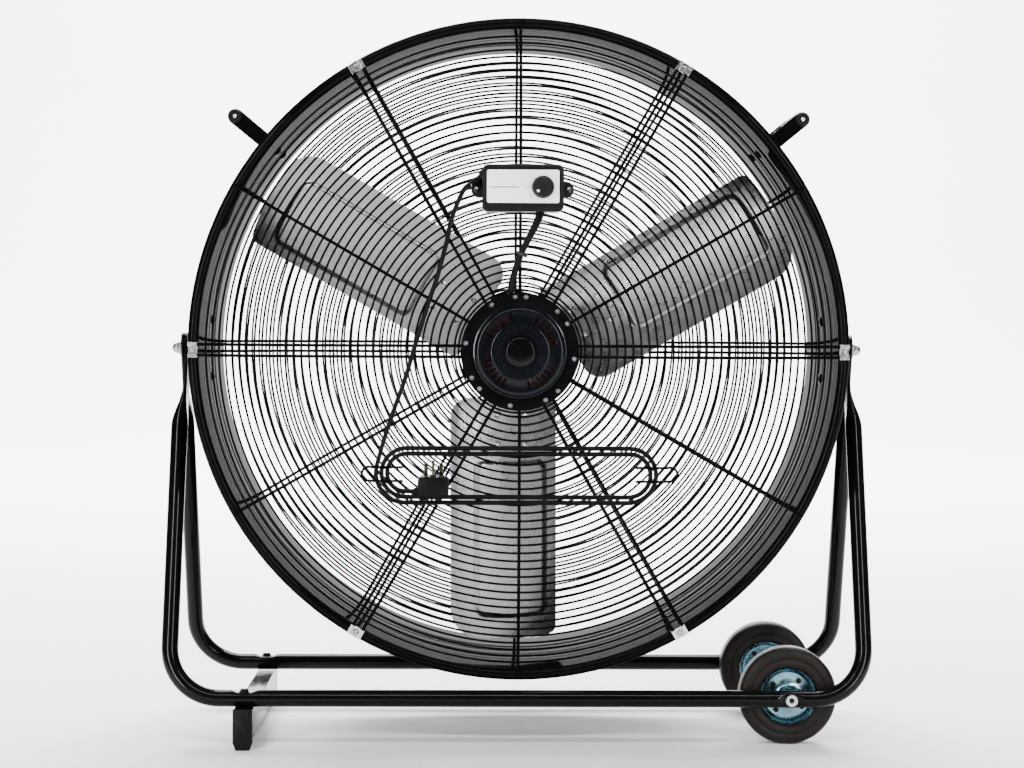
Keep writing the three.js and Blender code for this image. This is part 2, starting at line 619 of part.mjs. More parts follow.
function footBolt(side) {
  const seat = AXLE_HEIGHT + TUBE_SEAT + SEAT_GAP;
  const nutTop = FOOT_BAR_TOP - FOOT_BAR_WALL - SEAT_GAP;
  const [headRadius, headHeight] = FOOT_BOLT_HEAD;
  const profile = [
    [0, nutTop - 8],
    [headRadius - 1, nutTop - 8],
    [headRadius - 1, nutTop],
    [FOOT_BOLT_RADIUS, nutTop],
    [FOOT_BOLT_RADIUS, seat],
    [headRadius, seat],
    [headRadius - 2, seat + headHeight],
    [0, seat + headHeight],
  ];
  return turned('z', profile, 10).translate(FOOT_X, side * TUBE_Y, 0);
}

// ---- wheels ---------------------------------------------------------------------------------------
function wheelPart(profile, count, side) {
  const turnedPart = turned('y', profile, count).rotateY(Math.PI / count);
  return turnedPart.translate(WHEEL_X, side * WHEEL_Y, AXLE_HEIGHT);
}

function tyre(side) {
  const outer = WHEEL_RADIUS / Math.cos(Math.PI / WHEEL_SIDES); // a flat of it stands on the floor
  const inner = RIM_RADIUS + SEAT_GAP;
  const w = TYRE_HALF_WIDTH;
  const profile = [
    [inner, -w + 4], [inner + 6, -w], [outer - 8, -w], [outer, -w + 8],
    [outer, w - 8], [outer - 8, w], [inner + 6, w], [inner, w - 4],
  ];
  return wheelPart(profile, WHEEL_SIDES, side);
}

function wheelRim(side) {
  const bore = SLEEVE_RADIUS + SEAT_GAP;
  const w = TYRE_HALF_WIDTH - 3;
  const profile = [
    [bore, -HUB_HALF_LENGTH], [HUB_RADIUS, -HUB_HALF_LENGTH], [HUB_RADIUS + 3, -6], [RIM_RADIUS - 9, -3],
    [RIM_RADIUS - 2, -w], [RIM_RADIUS, -w], [RIM_RADIUS, w], [RIM_RADIUS - 2, w],
    [RIM_RADIUS - 9, 3], [HUB_RADIUS + 3, 6], [HUB_RADIUS, HUB_HALF_LENGTH], [bore, HUB_HALF_LENGTH],
  ];
  return wheelPart(profile, WHEEL_SIDES, side);
}

function wheelBush(side) {
  const bore = AXLE_RADIUS + RUN_GAP;
  const inside = -side * (HUB_HALF_LENGTH + 1.5);
  const outside = side * (WHEEL_BEHIND_TUBE - TUBE_RADIUS - 1);
  const profile = [[bore, inside], [SLEEVE_RADIUS, inside], [SLEEVE_RADIUS, outside], [bore, outside]];
  return wheelPart(profile, SHAFT_SIDES, side);
}

function wheelAxle() {
  const [headRadius, headHeight] = AXLE_HEAD;
  const profile = [
    [0, -AXLE_SEAT - headHeight],
    [headRadius - 1, -AXLE_SEAT - headHeight],
    [headRadius, -AXLE_SEAT - headHeight + 1],
    [headRadius, -AXLE_SEAT],
    [AXLE_RADIUS, -AXLE_SEAT],
    [AXLE_RADIUS, -AXLE_SHOULDER],
    [SLEEVE_RADIUS, -AXLE_SHOULDER],
    [SLEEVE_RADIUS, AXLE_SHOULDER],
    [AXLE_RADIUS, AXLE_SHOULDER],
    [AXLE_RADIUS, AXLE_SEAT + AXLE_NUT_HEIGHT + 1],
    [0, AXLE_SEAT + AXLE_NUT_HEIGHT + 1],
  ];
  const [socketRadius, socketDepth] = AXLE_SOCKET;
  const head = -AXLE_SEAT - headHeight;
  const socket = rod('y', socketRadius, head - 1, head + socketDepth, [0, 0, 0], 6);
  const axle = turned('y', profile, SHAFT_SIDES).rotateY(Math.PI / SHAFT_SIDES);
  return cut(axle, socket).translate(WHEEL_X, 0, AXLE_HEIGHT);
}

function axleNut() {
  const body = rod('y', AXLE_HEAD[0] + 1, AXLE_SEAT, AXLE_SEAT + AXLE_NUT_HEIGHT, [0, 0, 0], 6);
  const hole = rod('y', AXLE_RADIUS + SEAT_GAP, AXLE_SEAT - 1, AXLE_SEAT + AXLE_NUT_HEIGHT + 1);
  return cut(body, hole).translate(WHEEL_X, 0, AXLE_HEIGHT);
}

function wheel(name, side) {
  return [
    piece(`${name}_wheel_tyre`, tyre(side), RUBBER),
    piece(`${name}_wheel_rim`, wheelRim(side), BLUE_ZINC),
    piece(`${name}_wheel_bush`, wheelBush(side), BARE_STEEL),
  ];
}

// ---- tilt pivot -----------------------------------------------------------------------------------
const drumCore = () => rod('y', DRUM_OUTSIDE + SEAT_GAP, -DRUM_DEPTH, DRUM_DEPTH, [0, 0, 0], DRUM_SIDES);

// A hat section bolted to the drum's wall, with the tilt bolt through its outer face.
function pivotBracket(hand) {
  const face = BRACKET_FACE_X;
  const foot = DRUM_OUTSIDE + BRACKET_PLATE + SEAT_GAP;
  const [near, far] = BRACKET_FOOT;
  const buried = DRUM_OUTSIDE - 2.5 * BRACKET_PLATE; // the drum's own curve is cut from this side
  const mirrored = (points) => points.map(([x, z]) => [x, -z]);
  const outer = [[foot - BRACKET_FOOT_DROP, far], [foot, near], [face, BRACKET_TOP]];
  const inner = [
    [face - BRACKET_PLATE, BRACKET_HOLLOW[0]],
    [buried, BRACKET_HOLLOW[1]],
    [buried, far],
  ];
  const corners = [...mirrored(outer), ...[...outer].reverse(), ...[...inner].reverse(), ...mirrored(inner)];
  const hat = slab(outline(corners), -BRACKET_HALF_WIDTH, BRACKET_HALF_WIDTH);
  const bore = rod('x', PIVOT_BOLT_RADIUS + RUN_GAP, face - 20, face + 10, [0, 0, 0], SHAFT_SIDES);
  const bracket = cut(hat, drumCore(), bore);
  return hand < 0 ? bracket.rotateZ(Math.PI) : bracket;
}

function pivotBolt(hand) {
  const seat = BRACKET_FACE_X - BRACKET_PLATE - SEAT_GAP;
  const end = STRAP_OUTSIDE_X + SEAT_GAP + DOME_NUT_LENGTH - 6;
  const [headRadius, headHeight] = PIVOT_HEAD;
  const profile = [
    [0, seat - headHeight], [headRadius, seat - headHeight], [headRadius, seat],
    [PIVOT_BOLT_RADIUS, seat], [PIVOT_BOLT_RADIUS, end], [0, end],
  ];
  const bolt = turned('x', profile, SHAFT_SIDES);
  return (hand < 0 ? bolt.rotateZ(Math.PI) : bolt).translate(0, 0, PIVOT_HEIGHT);
}

function domeNut(hand) {
  const bore = PIVOT_BOLT_RADIUS + BORE_GAP;
  const [flangeRadius, flange] = NUT_FLANGE;
  const length = DOME_NUT_LENGTH;
  const profile = [
    [0, length - 5], [bore, length - 5], [bore, 0], [flangeRadius, 0], [flangeRadius, flange],
    [DOME_NUT_RADIUS, flange], [DOME_NUT_RADIUS, 0.5 * length], [0.8 * DOME_NUT_RADIUS, 0.78 * length],
    [0.35 * DOME_NUT_RADIUS, 0.95 * length], [0, length],
  ];
  const nut = turned('x', profile, 10).translate(STRAP_OUTSIDE_X + SEAT_GAP, 0, 0);
  return (hand < 0 ? nut.rotateZ(Math.PI) : nut).translate(0, 0, PIVOT_HEIGHT);
}

// ---- drum and guards --------------------------------------------------------------------------------
function drumShell() {
  const beadRadius = DRUM_RADIUS - RIM_BEAD_RADIUS;
  const beadY = RIM_FACE - RIM_BEAD_RADIUS;
  const bead = RIM_BEAD_CORNERS.map((degrees) => {
    const angle = THREE.MathUtils.degToRad(degrees);
    return [beadRadius + RIM_BEAD_RADIUS * Math.cos(angle), beadY + RIM_BEAD_RADIUS * Math.sin(angle)];
  });
  const half = [...bead, [DRUM_OUTSIDE, beadY - 1.4 * RIM_BEAD_RADIUS]];
  const profile = [...half, ...half.slice().reverse().map(([radius, y]) => [radius, -y])];
  return turned('y', profile, DRUM_SIDES);
}

// How far the guard's middle line stands from the drum's middle, at a radius.
function guardHeight(radius) {
  if (radius <= GUARD_FLAT_RADIUS) return GUARD_FACE_Y - GUARD_WIRE / 2;
  if (radius >= GUARD_OUTER_RING) return GUARD_EDGE_Y;
  const angle = Math.asin((radius - GUARD_FLAT_RADIUS) / GUARD_DOME_RADIUS);
  return GUARD_FACE_Y - GUARD_WIRE / 2 - GUARD_DOME_RADIUS * (1 - Math.cos(angle));
}

// Ring radii at even steps along the guard's profile.
function guardRingRadii(count) {
  const flat = GUARD_FLAT_RADIUS - GUARD_INNER_RING;
  const length = flat + GUARD_DOME_RADIUS * GUARD_DOME_ANGLE;
  return Array.from({ length: count }, (_, i) => {
    const run = (length * i) / (count - 1);
    if (run <= flat) return GUARD_INNER_RING + run;
    return GUARD_FLAT_RADIUS + GUARD_DOME_RADIUS * Math.sin((run - flat) / GUARD_DOME_RADIUS);
  });
}

// Spokes stand in pairs every 60 degrees, with a single one halfway between two pairs.
function spokes() {
  return Array.from({ length: 6 }, (_, i) => {
    const angle = (i * Math.PI) / 3;
    return [
      { angle, offset: -SPOKE_PAIR_OFFSET },
      { angle, offset: SPOKE_PAIR_OFFSET },
      { angle: angle + Math.PI / 6, offset: 0 },
    ];
  }).flat();
}

// Rings and spokes as one welded grid that shares its corners.
function guardGrid(ringCount) {
  const rings = guardRingRadii(ringCount);
  const bars = spokes();
  const positions = [];
  const corner = (radius, y, angle, offset) => {
    const turn = angle + Math.asin(offset / radius);
    return new THREE.Vector3(radius * Math.cos(turn), y, radius * Math.sin(turn));
  };
  // The corners of spoke `bar` between two radii, lower face first.
  const spokeCell = (bar, inner, outer, innerY, outerY) => [-1, 1].flatMap((level) => [
    [inner, innerY],
    [outer, outerY],
  ].flatMap(([radius, y]) => [-1, 1].map((edge) => {
    const offset = bar.offset + (edge * SPOKE_WIRE) / 2;
    return corner(radius, y + (level * GUARD_WIRE) / 2, bar.angle, offset);
  })));
  const middleCorners = (cell, nextCell, radius) => [0, 2, 4, 6].map((k) => {
    const middle = cell[k + 1].clone().add(nextCell[k]).multiply(new THREE.Vector3(0.5, 0, 0.5));
    const wanted = radius + (k % 4 === 0 ? -1 : 1) * (GUARD_WIRE / 2);
    return middle.setLength(wanted).setY(cell[k].y);
  });
  const ringFaces = ['inner', 'outer', 'under', 'upper'];
  const spokeFaces = ['left', 'right', 'under', 'upper'];
  bars.forEach((bar, s) => {
    const next = bars[(s + 1) % bars.length];
    rings.forEach((radius, i) => {
      const y = guardHeight(radius);
      const [inner, outer] = [radius - GUARD_WIRE / 2, radius + GUARD_WIRE / 2];
      const cell = spokeCell(bar, inner, outer, y, y);
      const nextCell = spokeCell(next, inner, outer, y, y);
      positions.push(...cellFaces(cell, i === 0 ? ['inner', 'under', 'upper'] : ['under', 'upper']));
      const from = [0, 2, 4, 6].map((k) => cell[k + 1]);
      const to = [0, 2, 4, 6].map((k) => nextCell[k]);
      const stops = [from, to];
      if (radius > FINE_RING_RADIUS && bar.offset >= 0) stops.splice(1, 0, middleCorners(cell, nextCell, radius));
      for (let k = 0; k + 1 < stops.length; k++) {
        const segment = [0, 1, 2, 3].flatMap((row) => [stops[k][row], stops[k + 1][row]]);
        positions.push(...cellFaces(segment, ringFaces));
      }
      if (i === 0) return;
      const innerRing = rings[i - 1];
      const span = spokeCell(bar, innerRing + GUARD_WIRE / 2, inner, guardHeight(innerRing), y);
      positions.push(...cellFaces(span, spokeFaces));
    });
    const rim = rings.at(-1) + GUARD_WIRE / 2;
    const end = spokeCell(bar, rim, SPOKE_OUTER_END, GUARD_EDGE_Y, GUARD_EDGE_Y);
    positions.push(...cellFaces(end, [...spokeFaces, 'outer']));
  });
  return outward(fromTriangles(positions));
}

function rearGuard() {
  return guardGrid(REAR_GUARD_RINGS).rotateZ(Math.PI);
}

// The front guard has a dished plate welded over the ends of its spokes.
function frontGuard() {
  const back = GUARD_BACK_Y + 0.5;
  const face = GUARD_BACK_Y + CENTRE_PLATE_LIP;
  const radius = CENTRE_PLATE_RADIUS;
  const profile = [[0, back], [radius, back], [radius, face - 3], [radius - 4, face], [0, face]];
  return join(guardGrid(FRONT_GUARD_RINGS), turned('y', profile, MOTOR_SIDES));
}

// A saddle over the ends of a pair of spokes, pressed down between them onto the rim.
function rimClip(index) {
  const top = GUARD_EDGE_Y + GUARD_WIRE / 2 + SEAT_GAP;
  const foot = RIM_FACE + SEAT_GAP;
  const half = CLIP_WIDTH / 2;
  const shape = outline([
    [-half, top], [-CLIP_FOOT, top], [-CLIP_FOOT + 0.6, foot], [CLIP_FOOT - 0.6, foot], [CLIP_FOOT, top],
    [half, top], [half, top + CLIP_PLATE], [-half, top + CLIP_PLATE],
  ]);
  const depth = CLIP_REACH[1] - CLIP_REACH[0];
  const saddle = new THREE.ExtrudeGeometry(shape, { depth, bevelEnabled: false });
  saddle.rotateZ(Math.PI).translate(0, 0, CLIP_REACH[0]);
  return saddle.rotateY((index * Math.PI) / 3 + Math.PI / 6);
}

// ---- handles ----------------------------------------------------------------------------------------
function strapLeg(y) {
  const [halfWidth, thickness] = HANDLE_STRAP;
  const shape = new THREE.Shape();
  shape.moveTo(DRUM_OUTSIDE - 2, -halfWidth);
  shape.lineTo(HANDLE_GRIP_AT, -halfWidth);
  shape.absarc(HANDLE_GRIP_AT, 0, halfWidth, -Math.PI / 2, Math.PI / 2);
  shape.lineTo(DRUM_OUTSIDE - 2, halfWidth);
  return slab(shape, Math.min(y, y - Math.sign(y) * thickness), Math.max(y, y - Math.sign(y) * thickness), 5);
}

// Bolted to the drum's wall, whose curve is cut from its foot.
function handleBracket(angle) {
  const [halfWidth, thickness] = HANDLE_STRAP;
  const depth = thickness + 4;
  const foot = block([depth, 2 * HANDLE_HALF_SPAN - 1, 2 * halfWidth], [DRUM_OUTSIDE - 3 + depth / 2, 0, 0]);
  const hole = rod('y', GRIP_PIN_RADIUS + BORE_GAP, -DRUM_DEPTH, DRUM_DEPTH, [HANDLE_GRIP_AT, 0, 0], 12);
  const bracket = cut(join(foot, strapLeg(-HANDLE_HALF_SPAN), strapLeg(HANDLE_HALF_SPAN)), hole);
  return cut(bracket.rotateY(-angle), drumCore());
}

function handleGrip() {
  const inside = HANDLE_HALF_SPAN - HANDLE_STRAP[1] - SEAT_GAP;
  const outside = HANDLE_HALF_SPAN + SEAT_GAP;
  const [buttonRadius, button] = GRIP_BUTTON;
  const half = [
    [GRIP_RADIUS, inside], [GRIP_PIN_RADIUS, inside], [GRIP_PIN_RADIUS, outside], [buttonRadius, outside],
    [buttonRadius - 1, outside + button], [0, outside + button],
  ];
  const profile = [...half.slice().reverse().map(([radius, y]) => [radius, -y]), ...half];
  return turned('y', profile, 12).translate(HANDLE_GRIP_AT, 0, 0);
}

function handle(name, hand) {
  const angle = hand > 0 ? HANDLE_ANGLE : Math.PI - HANDLE_ANGLE;
  return [
    piece(`${name}_handle_bracket`, handleBracket(angle), GLOSS_BLACK),
    piece(`${name}_handle_grip`, handleGrip().rotateY(-angle), SATIN_BLACK),
  ];
}

// ---- motor ------------------------------------------------------------------------------------------
function motorFlange() {
  const back = -GUARD_FACE_Y - SEAT_GAP;
  const front = back - MOUNT_PLATE_THICKNESS;
  const bore = MOTOR_RADIUS + SEAT_GAP;
  const profile = [[bore, front], [bore, back], [MOUNT_PLATE_RADIUS, back], [MOUNT_PLATE_RADIUS, front]];
  const notch = rod('y', LEAD_RADIUS + SEAT_GAP, front - 5, back + 5, [LEAD_THROUGH[0], 0, LEAD_THROUGH[1]], 12);
  return cut(turned('y', profile, MOTOR_SIDES), notch);
}

// Four groups of slots that run outward from the boss.
function ventSlots() {
  const [length, width] = VENT_SLOT;
  const depth = 2 * BOSS_HEIGHT + MOTOR_WALL;
  const slots = [];
  for (let quarter = 0; quarter < 4; quarter++) {
    for (let i = 0; i < VENTS_PER_GROUP; i++) {
      const aside = (i - (VENTS_PER_GROUP - 1) / 2) * VENT_STEP;
      const slot = block([length, 2 * depth, width], [VENT_GROUP_AT, MOTOR_REAR_Y, 0]);
      slots.push(slot.rotateY(-VENT_TURN - (quarter * Math.PI) / 2 - aside));
    }
  }
  return slots;
}

function rearBell() {
  const seat = -GUARD_BACK_Y + SEAT_GAP;
  const face = MOTOR_REAR_Y;
  const inner = MOTOR_RADIUS - MOTOR_WALL;
  const bearing = BEARING_RADIUS + SEAT_GAP;
  const cup = bearing + BEARING_CUP_WALL;
  const shoulder = face - BOSS_HEIGHT + BEARING_WIDTH + 2 * SEAT_GAP;
  const split = MOTOR_SPLIT_Y - SEAT_GAP;
  const profile = [
    [bearing, face - BOSS_HEIGHT], [BOSS_RADIUS, face - BOSS_HEIGHT], [BOSS_RADIUS, face],
    [MOTOR_RADIUS - 6, face], [MOTOR_RADIUS - 1.8, face + 1.8], [MOTOR_RADIUS, face + 6],
    [MOTOR_RADIUS, seat], [MOTOR_FLANGE[0], seat], [MOTOR_FLANGE[0], seat + MOTOR_FLANGE[1]],
    [MOTOR_RADIUS, seat + MOTOR_FLANGE[1]], [MOTOR_RADIUS, split], [inner, split],
    [inner, face + 8], [inner - 4, face + 4], [cup, face + 4], [cup, shoulder + 3],
    [bearing - 6, shoulder + 3], [bearing - 6, shoulder], [bearing, shoulder],
  ];
  return cut(turned('y', profile, MOTOR_SIDES), ...ventSlots());
}

function frontBell() {
  const inner = MOTOR_RADIUS - MOTOR_WALL;
  const bearing = BEARING_RADIUS + SEAT_GAP;
  const cup = bearing + BEARING_CUP_WALL;
  const face = MOTOR_FRONT_Y;
  const shoulder = face - BEARING_WIDTH - SEAT_GAP;
  const profile = [
    [bearing, face], [MOTOR_RADIUS - 8, face], [MOTOR_RADIUS, face - 8], [MOTOR_RADIUS, MOTOR_SPLIT_Y],
    [inner, MOTOR_SPLIT_Y], [inner, face - 9], [inner - 5, face - 4], [cup, face - 4], [cup, shoulder - 2],
    [bearing - 6, shoulder - 2], [bearing - 6, shoulder], [bearing, shoulder],
  ];
  return turned('y', profile, MOTOR_SIDES);
}

function stator() {
  const [start, end] = STATOR_Y;
  const profile = [
    [WINDING_BORE, start - END_TURN], [WINDING_RADIUS, start - END_TURN], [WINDING_RADIUS, start],
    [STATOR_RADIUS, start], [STATOR_RADIUS, end], [WINDING_RADIUS, end], [WINDING_RADIUS, end + END_TURN],
    [WINDING_BORE, end + END_TURN],
  ];
  return turned('y', profile, MOTOR_SIDES);
}

function bearing(start) {
  const bore = SHAFT_RADIUS + RUN_GAP;
  const end = start + BEARING_WIDTH;
  return turned('y', [[bore, start], [BEARING_RADIUS, start], [BEARING_RADIUS, end], [bore, end]], SHAFT_SIDES);
}

function bearingCap() {
  const seat = MOTOR_REAR_Y - BOSS_HEIGHT - SEAT_GAP;
  const dome = [[CAP_RADIUS, seat], [CAP_RADIUS, seat - 3]];
  for (const degrees of [30, 60]) {
    const angle = THREE.MathUtils.degToRad(degrees);
    dome.push([(CAP_RADIUS - 2) * Math.cos(angle), seat - 3 - (CAP_HEIGHT - 3) * Math.sin(angle)]);
  }
  return turned('y', [[0, seat], ...dome, [0, seat - CAP_HEIGHT]], MOTOR_SIDES);
}

function rotorShaft() {
  const [start, end] = STATOR_Y;
  const profile = [
    [0, REAR_BEARING_Y + 1], [SHAFT_RADIUS, REAR_BEARING_Y + 1], [SHAFT_RADIUS, start], [ROTOR_RADIUS, start],
    [ROTOR_RADIUS, end], [SHAFT_RADIUS, end], [SHAFT_RADIUS, FAN_Y + HUB_BOSS_HALF_LENGTH + 6],
    [0, FAN_Y + HUB_BOSS_HALF_LENGTH + 6],
  ];
  return turned('y', profile, SHAFT_SIDES);
}

// ---- fan --------------------------------------------------------------------------------------------
// The blade sheet's height along the drum's axis, at a place across it.
function bladeHeight(across) {
  const share = (across - BLADE_MIDDLE) / BLADE_HALF;
  return FAN_Y - BLADE_PITCH * (across - BLADE_MIDDLE) - BLADE_CAMBER * (1 - share * share);
}

// A sheet over rows (radii) and columns (places across), between two offsets from the blade's surface.
function bladeSheet(rows, columnsAt, liftAt, offset, thickness) {
  const point = (radius, across, y) => {
    const lengthways = radius - (BLADE_TIP - Math.sqrt(BLADE_TIP ** 2 - across ** 2));
    return new THREE.Vector3(lengthways, y, -across);
  };
  const grid = rows.map((radius) => columnsAt(radius).map((across) => {
    const y = bladeHeight(across) + offset + liftAt(radius, across);
    return [point(radius, across, y), point(radius, across, y + thickness)];
  }));
  const positions = [];
  for (let i = 0; i + 1 < grid.length; i++) {
    for (let k = 0; k + 1 < grid[i].length; k++) {
      const strips = [grid[i], grid[i + 1]].map((row) => row.slice(k, k + 2));
      const corners = [0, 1].flatMap((level) => strips.flatMap((strip) => strip.map((pair) => pair[level])));
      const faces = ['under', 'upper'];
      if (k === 0) faces.push('left');
      if (k + 2 === grid[i].length) faces.push('right');
      if (i === 0) faces.push('inner');
      if (i + 2 === grid.length) faces.push('outer');
      positions.push(...cellFaces(corners, faces));
    }
  }
  return outward(fromTriangles(positions));
}

// How much a rounded corner takes off the side of the blade at a radius.
function cornerInset(radius) {
  const fromEnd = Math.min(radius - BLADE_ROOT, BLADE_TIP - radius, BLADE_CORNER);
  return BLADE_CORNER - Math.sqrt(BLADE_CORNER ** 2 - (BLADE_CORNER - fromEnd) ** 2);
}

function blade() {
  const [panelStart, panelEnd] = [PANEL_START, BLADE_TIP - PANEL_INSET];
  const [low, high] = PANEL_ACROSS;
  const columns = [low, low + PANEL_SLOPE, BLADE_MIDDLE, high - PANEL_SLOPE, high];
  const rows = [
    BLADE_ROOT, BLADE_ROOT + 5, BLADE_ROOT + 16, BLADE_ROOT + BLADE_CORNER, panelStart, panelStart + PANEL_SLOPE,
    panelEnd - PANEL_SLOPE, panelEnd, BLADE_TIP - 18, BLADE_TIP - 5, BLADE_TIP,
  ];
  const columnsAt = (radius) => {
    const inset = cornerInset(radius);
    const [from, to] = [BLADE_EDGES[0] + inset, BLADE_EDGES[1] - inset];
    const share = (across) => (across - BLADE_EDGES[0]) / (BLADE_EDGES[1] - BLADE_EDGES[0]);
    return [from, ...columns.map((across) => THREE.MathUtils.lerp(from, to, share(across))), to];
  };
  const liftAt = (radius, across) => {
    const inside = Math.min(radius - panelStart, panelEnd - radius, across - low, high - across);
    return -PANEL_HEIGHT * THREE.MathUtils.clamp(inside / PANEL_SLOPE, 0, 1);
  };
  return bladeSheet(rows, columnsAt, liftAt, 0, BLADE_THICKNESS);
}

function turnToBlade(geometry, index) {
  return geometry.rotateY(-BLADE_FIRST_ANGLE - (index * 2 * Math.PI) / BLADE_COUNT);
}

// The hub with an arm behind each blade.
function bladeSpider() {
  const columns = [ARM_ACROSS[0], (ARM_ACROSS[0] + ARM_ACROSS[1]) / 2, ARM_ACROSS[1]];
  const offset = BLADE_THICKNESS + ARM_GAP;
  const arm = () => bladeSheet([HUB_BOSS_RADIUS / 2, 90, ARM_END], () => columns, () => 0, offset, ARM_THICKNESS);
  const start = FAN_Y - HUB_BOSS_HALF_LENGTH;
  const end = FAN_Y + HUB_BOSS_HALF_LENGTH;
  const boss = rod('y', HUB_BOSS_RADIUS, start, end, [0, 0, 0], SHAFT_SIDES);
  const arms = Array.from({ length: BLADE_COUNT }, (_, i) => turnToBlade(arm(), i));
  const bore = rod('y', SHAFT_RADIUS + BORE_GAP, start - 5, end + 5, [0, 0, 0], SHAFT_SIDES);
  return cut(join(boss, ...arms), bore);
}

// ---- control box ------------------------------------------------------------------------------------
function boxOutline(inset, corner) {
  return roundedRectangle(BOX_SIZE[0] - 2 * inset, BOX_SIZE[1] - 2 * inset, corner, BOX_CENTRE);
}

function alongRelief(geometry) {
  geometry.applyQuaternion(new THREE.Quaternion().setFromUnitVectors(new THREE.Vector3(0, 1, 0), RELIEF_DIRECTION));
  return geometry.translate(...CORD_EXIT.toArray());
}

function controlBox() {
  const shell = slab(boxOutline(0, BOX_CORNER), BOX_FRONT_Y, BOX_BACK_Y);
  const hollow = slab(boxOutline(BOX_WALL, BOX_CORNER - BOX_WALL), BOX_FRONT_Y - 1, BOX_BACK_Y - BOX_WALL);
  const ears = [-1, 1].map((hand) => {
    const x = BOX_CENTRE[0] + hand * (BOX_SIZE[0] / 2 + EAR_REACH - EAR_RADIUS);
    return rod('y', EAR_RADIUS, BOX_BACK_Y - EAR_THICKNESS, BOX_BACK_Y, [x, 0, BOX_CENTRE[1]], 12);
  });
  const relief = STRAIN_RELIEF[0];
  const reliefHole = alongRelief(rod('y', relief + SEAT_GAP, -2 * relief, 2 * relief, [0, 0, 0], 12));
  const below = BOX_CENTRE[1] - BOX_SIZE[1];
  const leadAt = onGuard([...LEAD_HOLE, 0]).toArray();
  const leadHole = rod('z', LEAD_RADIUS + 4 * SEAT_GAP, below, BOX_CENTRE[1], leadAt, 12);
  return cut(join(shell, ...ears), hollow, reliefHole, leadHole);
}

function stemHole() {
  const radius = KNOB_STEM_RADIUS + BORE_GAP;
  return rod('y', radius, KNOB_FRONT_Y, BOX_BACK_Y, [KNOB_CENTRE[0], 0, KNOB_CENTRE[1]], KNOB_SIDES);
}

function boxLid() {
  const lid = slab(boxOutline(0, BOX_CORNER), LID_FRONT_Y, BOX_FRONT_Y - SEAT_GAP);
  return cut(lid, stemHole());
}

function facePlate() {
  const centre = [BOX_CENTRE[0], BOX_CENTRE[1] + FACE_PLATE_OFFSET];
  const shape = roundedRectangle(FACE_PLATE[0], FACE_PLATE[1], 3, centre);
  return cut(slab(shape, FACE_PLATE_Y, FACE_PLATE_Y + FACE_PLATE[2]), stemHole());
}

function rotarySwitch() {
  const [width, depth, height] = SWITCH_SIZE;
  const front = BOX_FRONT_Y;
  const body = block(SWITCH_SIZE, [KNOB_CENTRE[0], front + depth / 2, KNOB_CENTRE[1]]);
  const radius = KNOB_STEM_RADIUS + BORE_GAP;
  const socket = rod('y', radius, front - 1, front + 13, [KNOB_CENTRE[0], 0, KNOB_CENTRE[1]], KNOB_SIDES);
  return cut(body, socket);
}

function runCapacitor() {
  const [radius, length] = CAPACITOR;
  const seat = BOX_BACK_Y - BOX_WALL - SEAT_GAP - radius;
  return rod('z', radius, -length / 2, length / 2, [CAPACITOR_X, seat, BOX_CENTRE[1]], 20);
}

// The knob and its stem, with a raised pointer mark that shows how far it is turned.
function speedKnob() {
  const back = FACE_PLATE_Y - SEAT_GAP;
  const front = KNOB_FRONT_Y;
  const profile = [
    [0, front], [KNOB_RADIUS - 4, front], [KNOB_RADIUS - 2.2, front + 1.5], [KNOB_RADIUS - 1.5, back - 4],
    [KNOB_RADIUS, back - 3], [KNOB_RADIUS, back], [KNOB_STEM_RADIUS, back], [KNOB_STEM_RADIUS, BOX_FRONT_Y + 12],
    [0, BOX_FRONT_Y + 12],
  ];
  const markAngle = THREE.MathUtils.degToRad(POINTER_ANGLE);
  const markAt = [POINTER_REACH * Math.cos(markAngle), 0, POINTER_REACH * Math.sin(markAngle)];
  const mark = rod('y', 2, front - POINTER_RISE, front + 1, markAt, 8);
  return join(turned('y', profile, KNOB_SIDES), mark).translate(KNOB_CENTRE[0], 0, KNOB_CENTRE[1]);
}

// ---- cord and leads ---------------------------------------------------------------------------------
function cordGland() {
  const [thick, thin, length] = STRAIN_RELIEF;
  return alongRelief(turned('y', [[0, 0], [thick, 0], [thick, 5], [thin, length], [0, length]], 12));
}

function hankPoints() {
  const step = 360 / HANK_STEPS;
  const points = [];
  for (let degrees = HANK_START; degrees <= HANK_LAST; degrees += step) {
    const quarter = degrees % 180 === 90;
    if (quarter) points.push(hankPoint(degrees - 0.01), hankPoint(Math.min(degrees + 0.01, HANK_LAST)));
    else points.push(hankPoint(degrees));
  }
  return points;
}

function hankPath() {
  const points = hankPoints();
  const tail = new THREE.Vector3(PLUG_X[0] - SEAT_GAP, CORD_Y, HANK_END.z);
  const nearTail = tail.clone().setX(tail.x - 2 * CORD_RADIUS);
  const nearStart = HANK_BEGIN.clone().addScaledVector(HANK_HEADING, 2 * CORD_RADIUS);
  return [HANK_BEGIN, nearStart, ...points.slice(0, -1), nearTail, tail];
}

// The least gap between two stretches of the hank that aren't neighbours.
function leastHankGap(points) {
  let least = Infinity;
  const segment = new THREE.Line3();
  const nearest = new THREE.Vector3();
  for (let i = 0; i + 1 < points.length; i++) {
    segment.set(points[i], points[i + 1]);
    for (let k = 0; k < points.length; k++) {
      if (k > i - 6 && k < i + 7) continue;
      segment.closestPointToPoint(points[k], true, nearest);
      least = Math.min(least, nearest.distanceTo(points[k]));
    }
  }
  return least - 2 * CORD_RADIUS;
}

function cordHank() {
  const points = hankPath();
  console.error(`least gap in the hank: ${leastHankGap(points).toFixed(2)} mm`);
  return wire(points, CORD_RADIUS, HANK_SIDES);
}

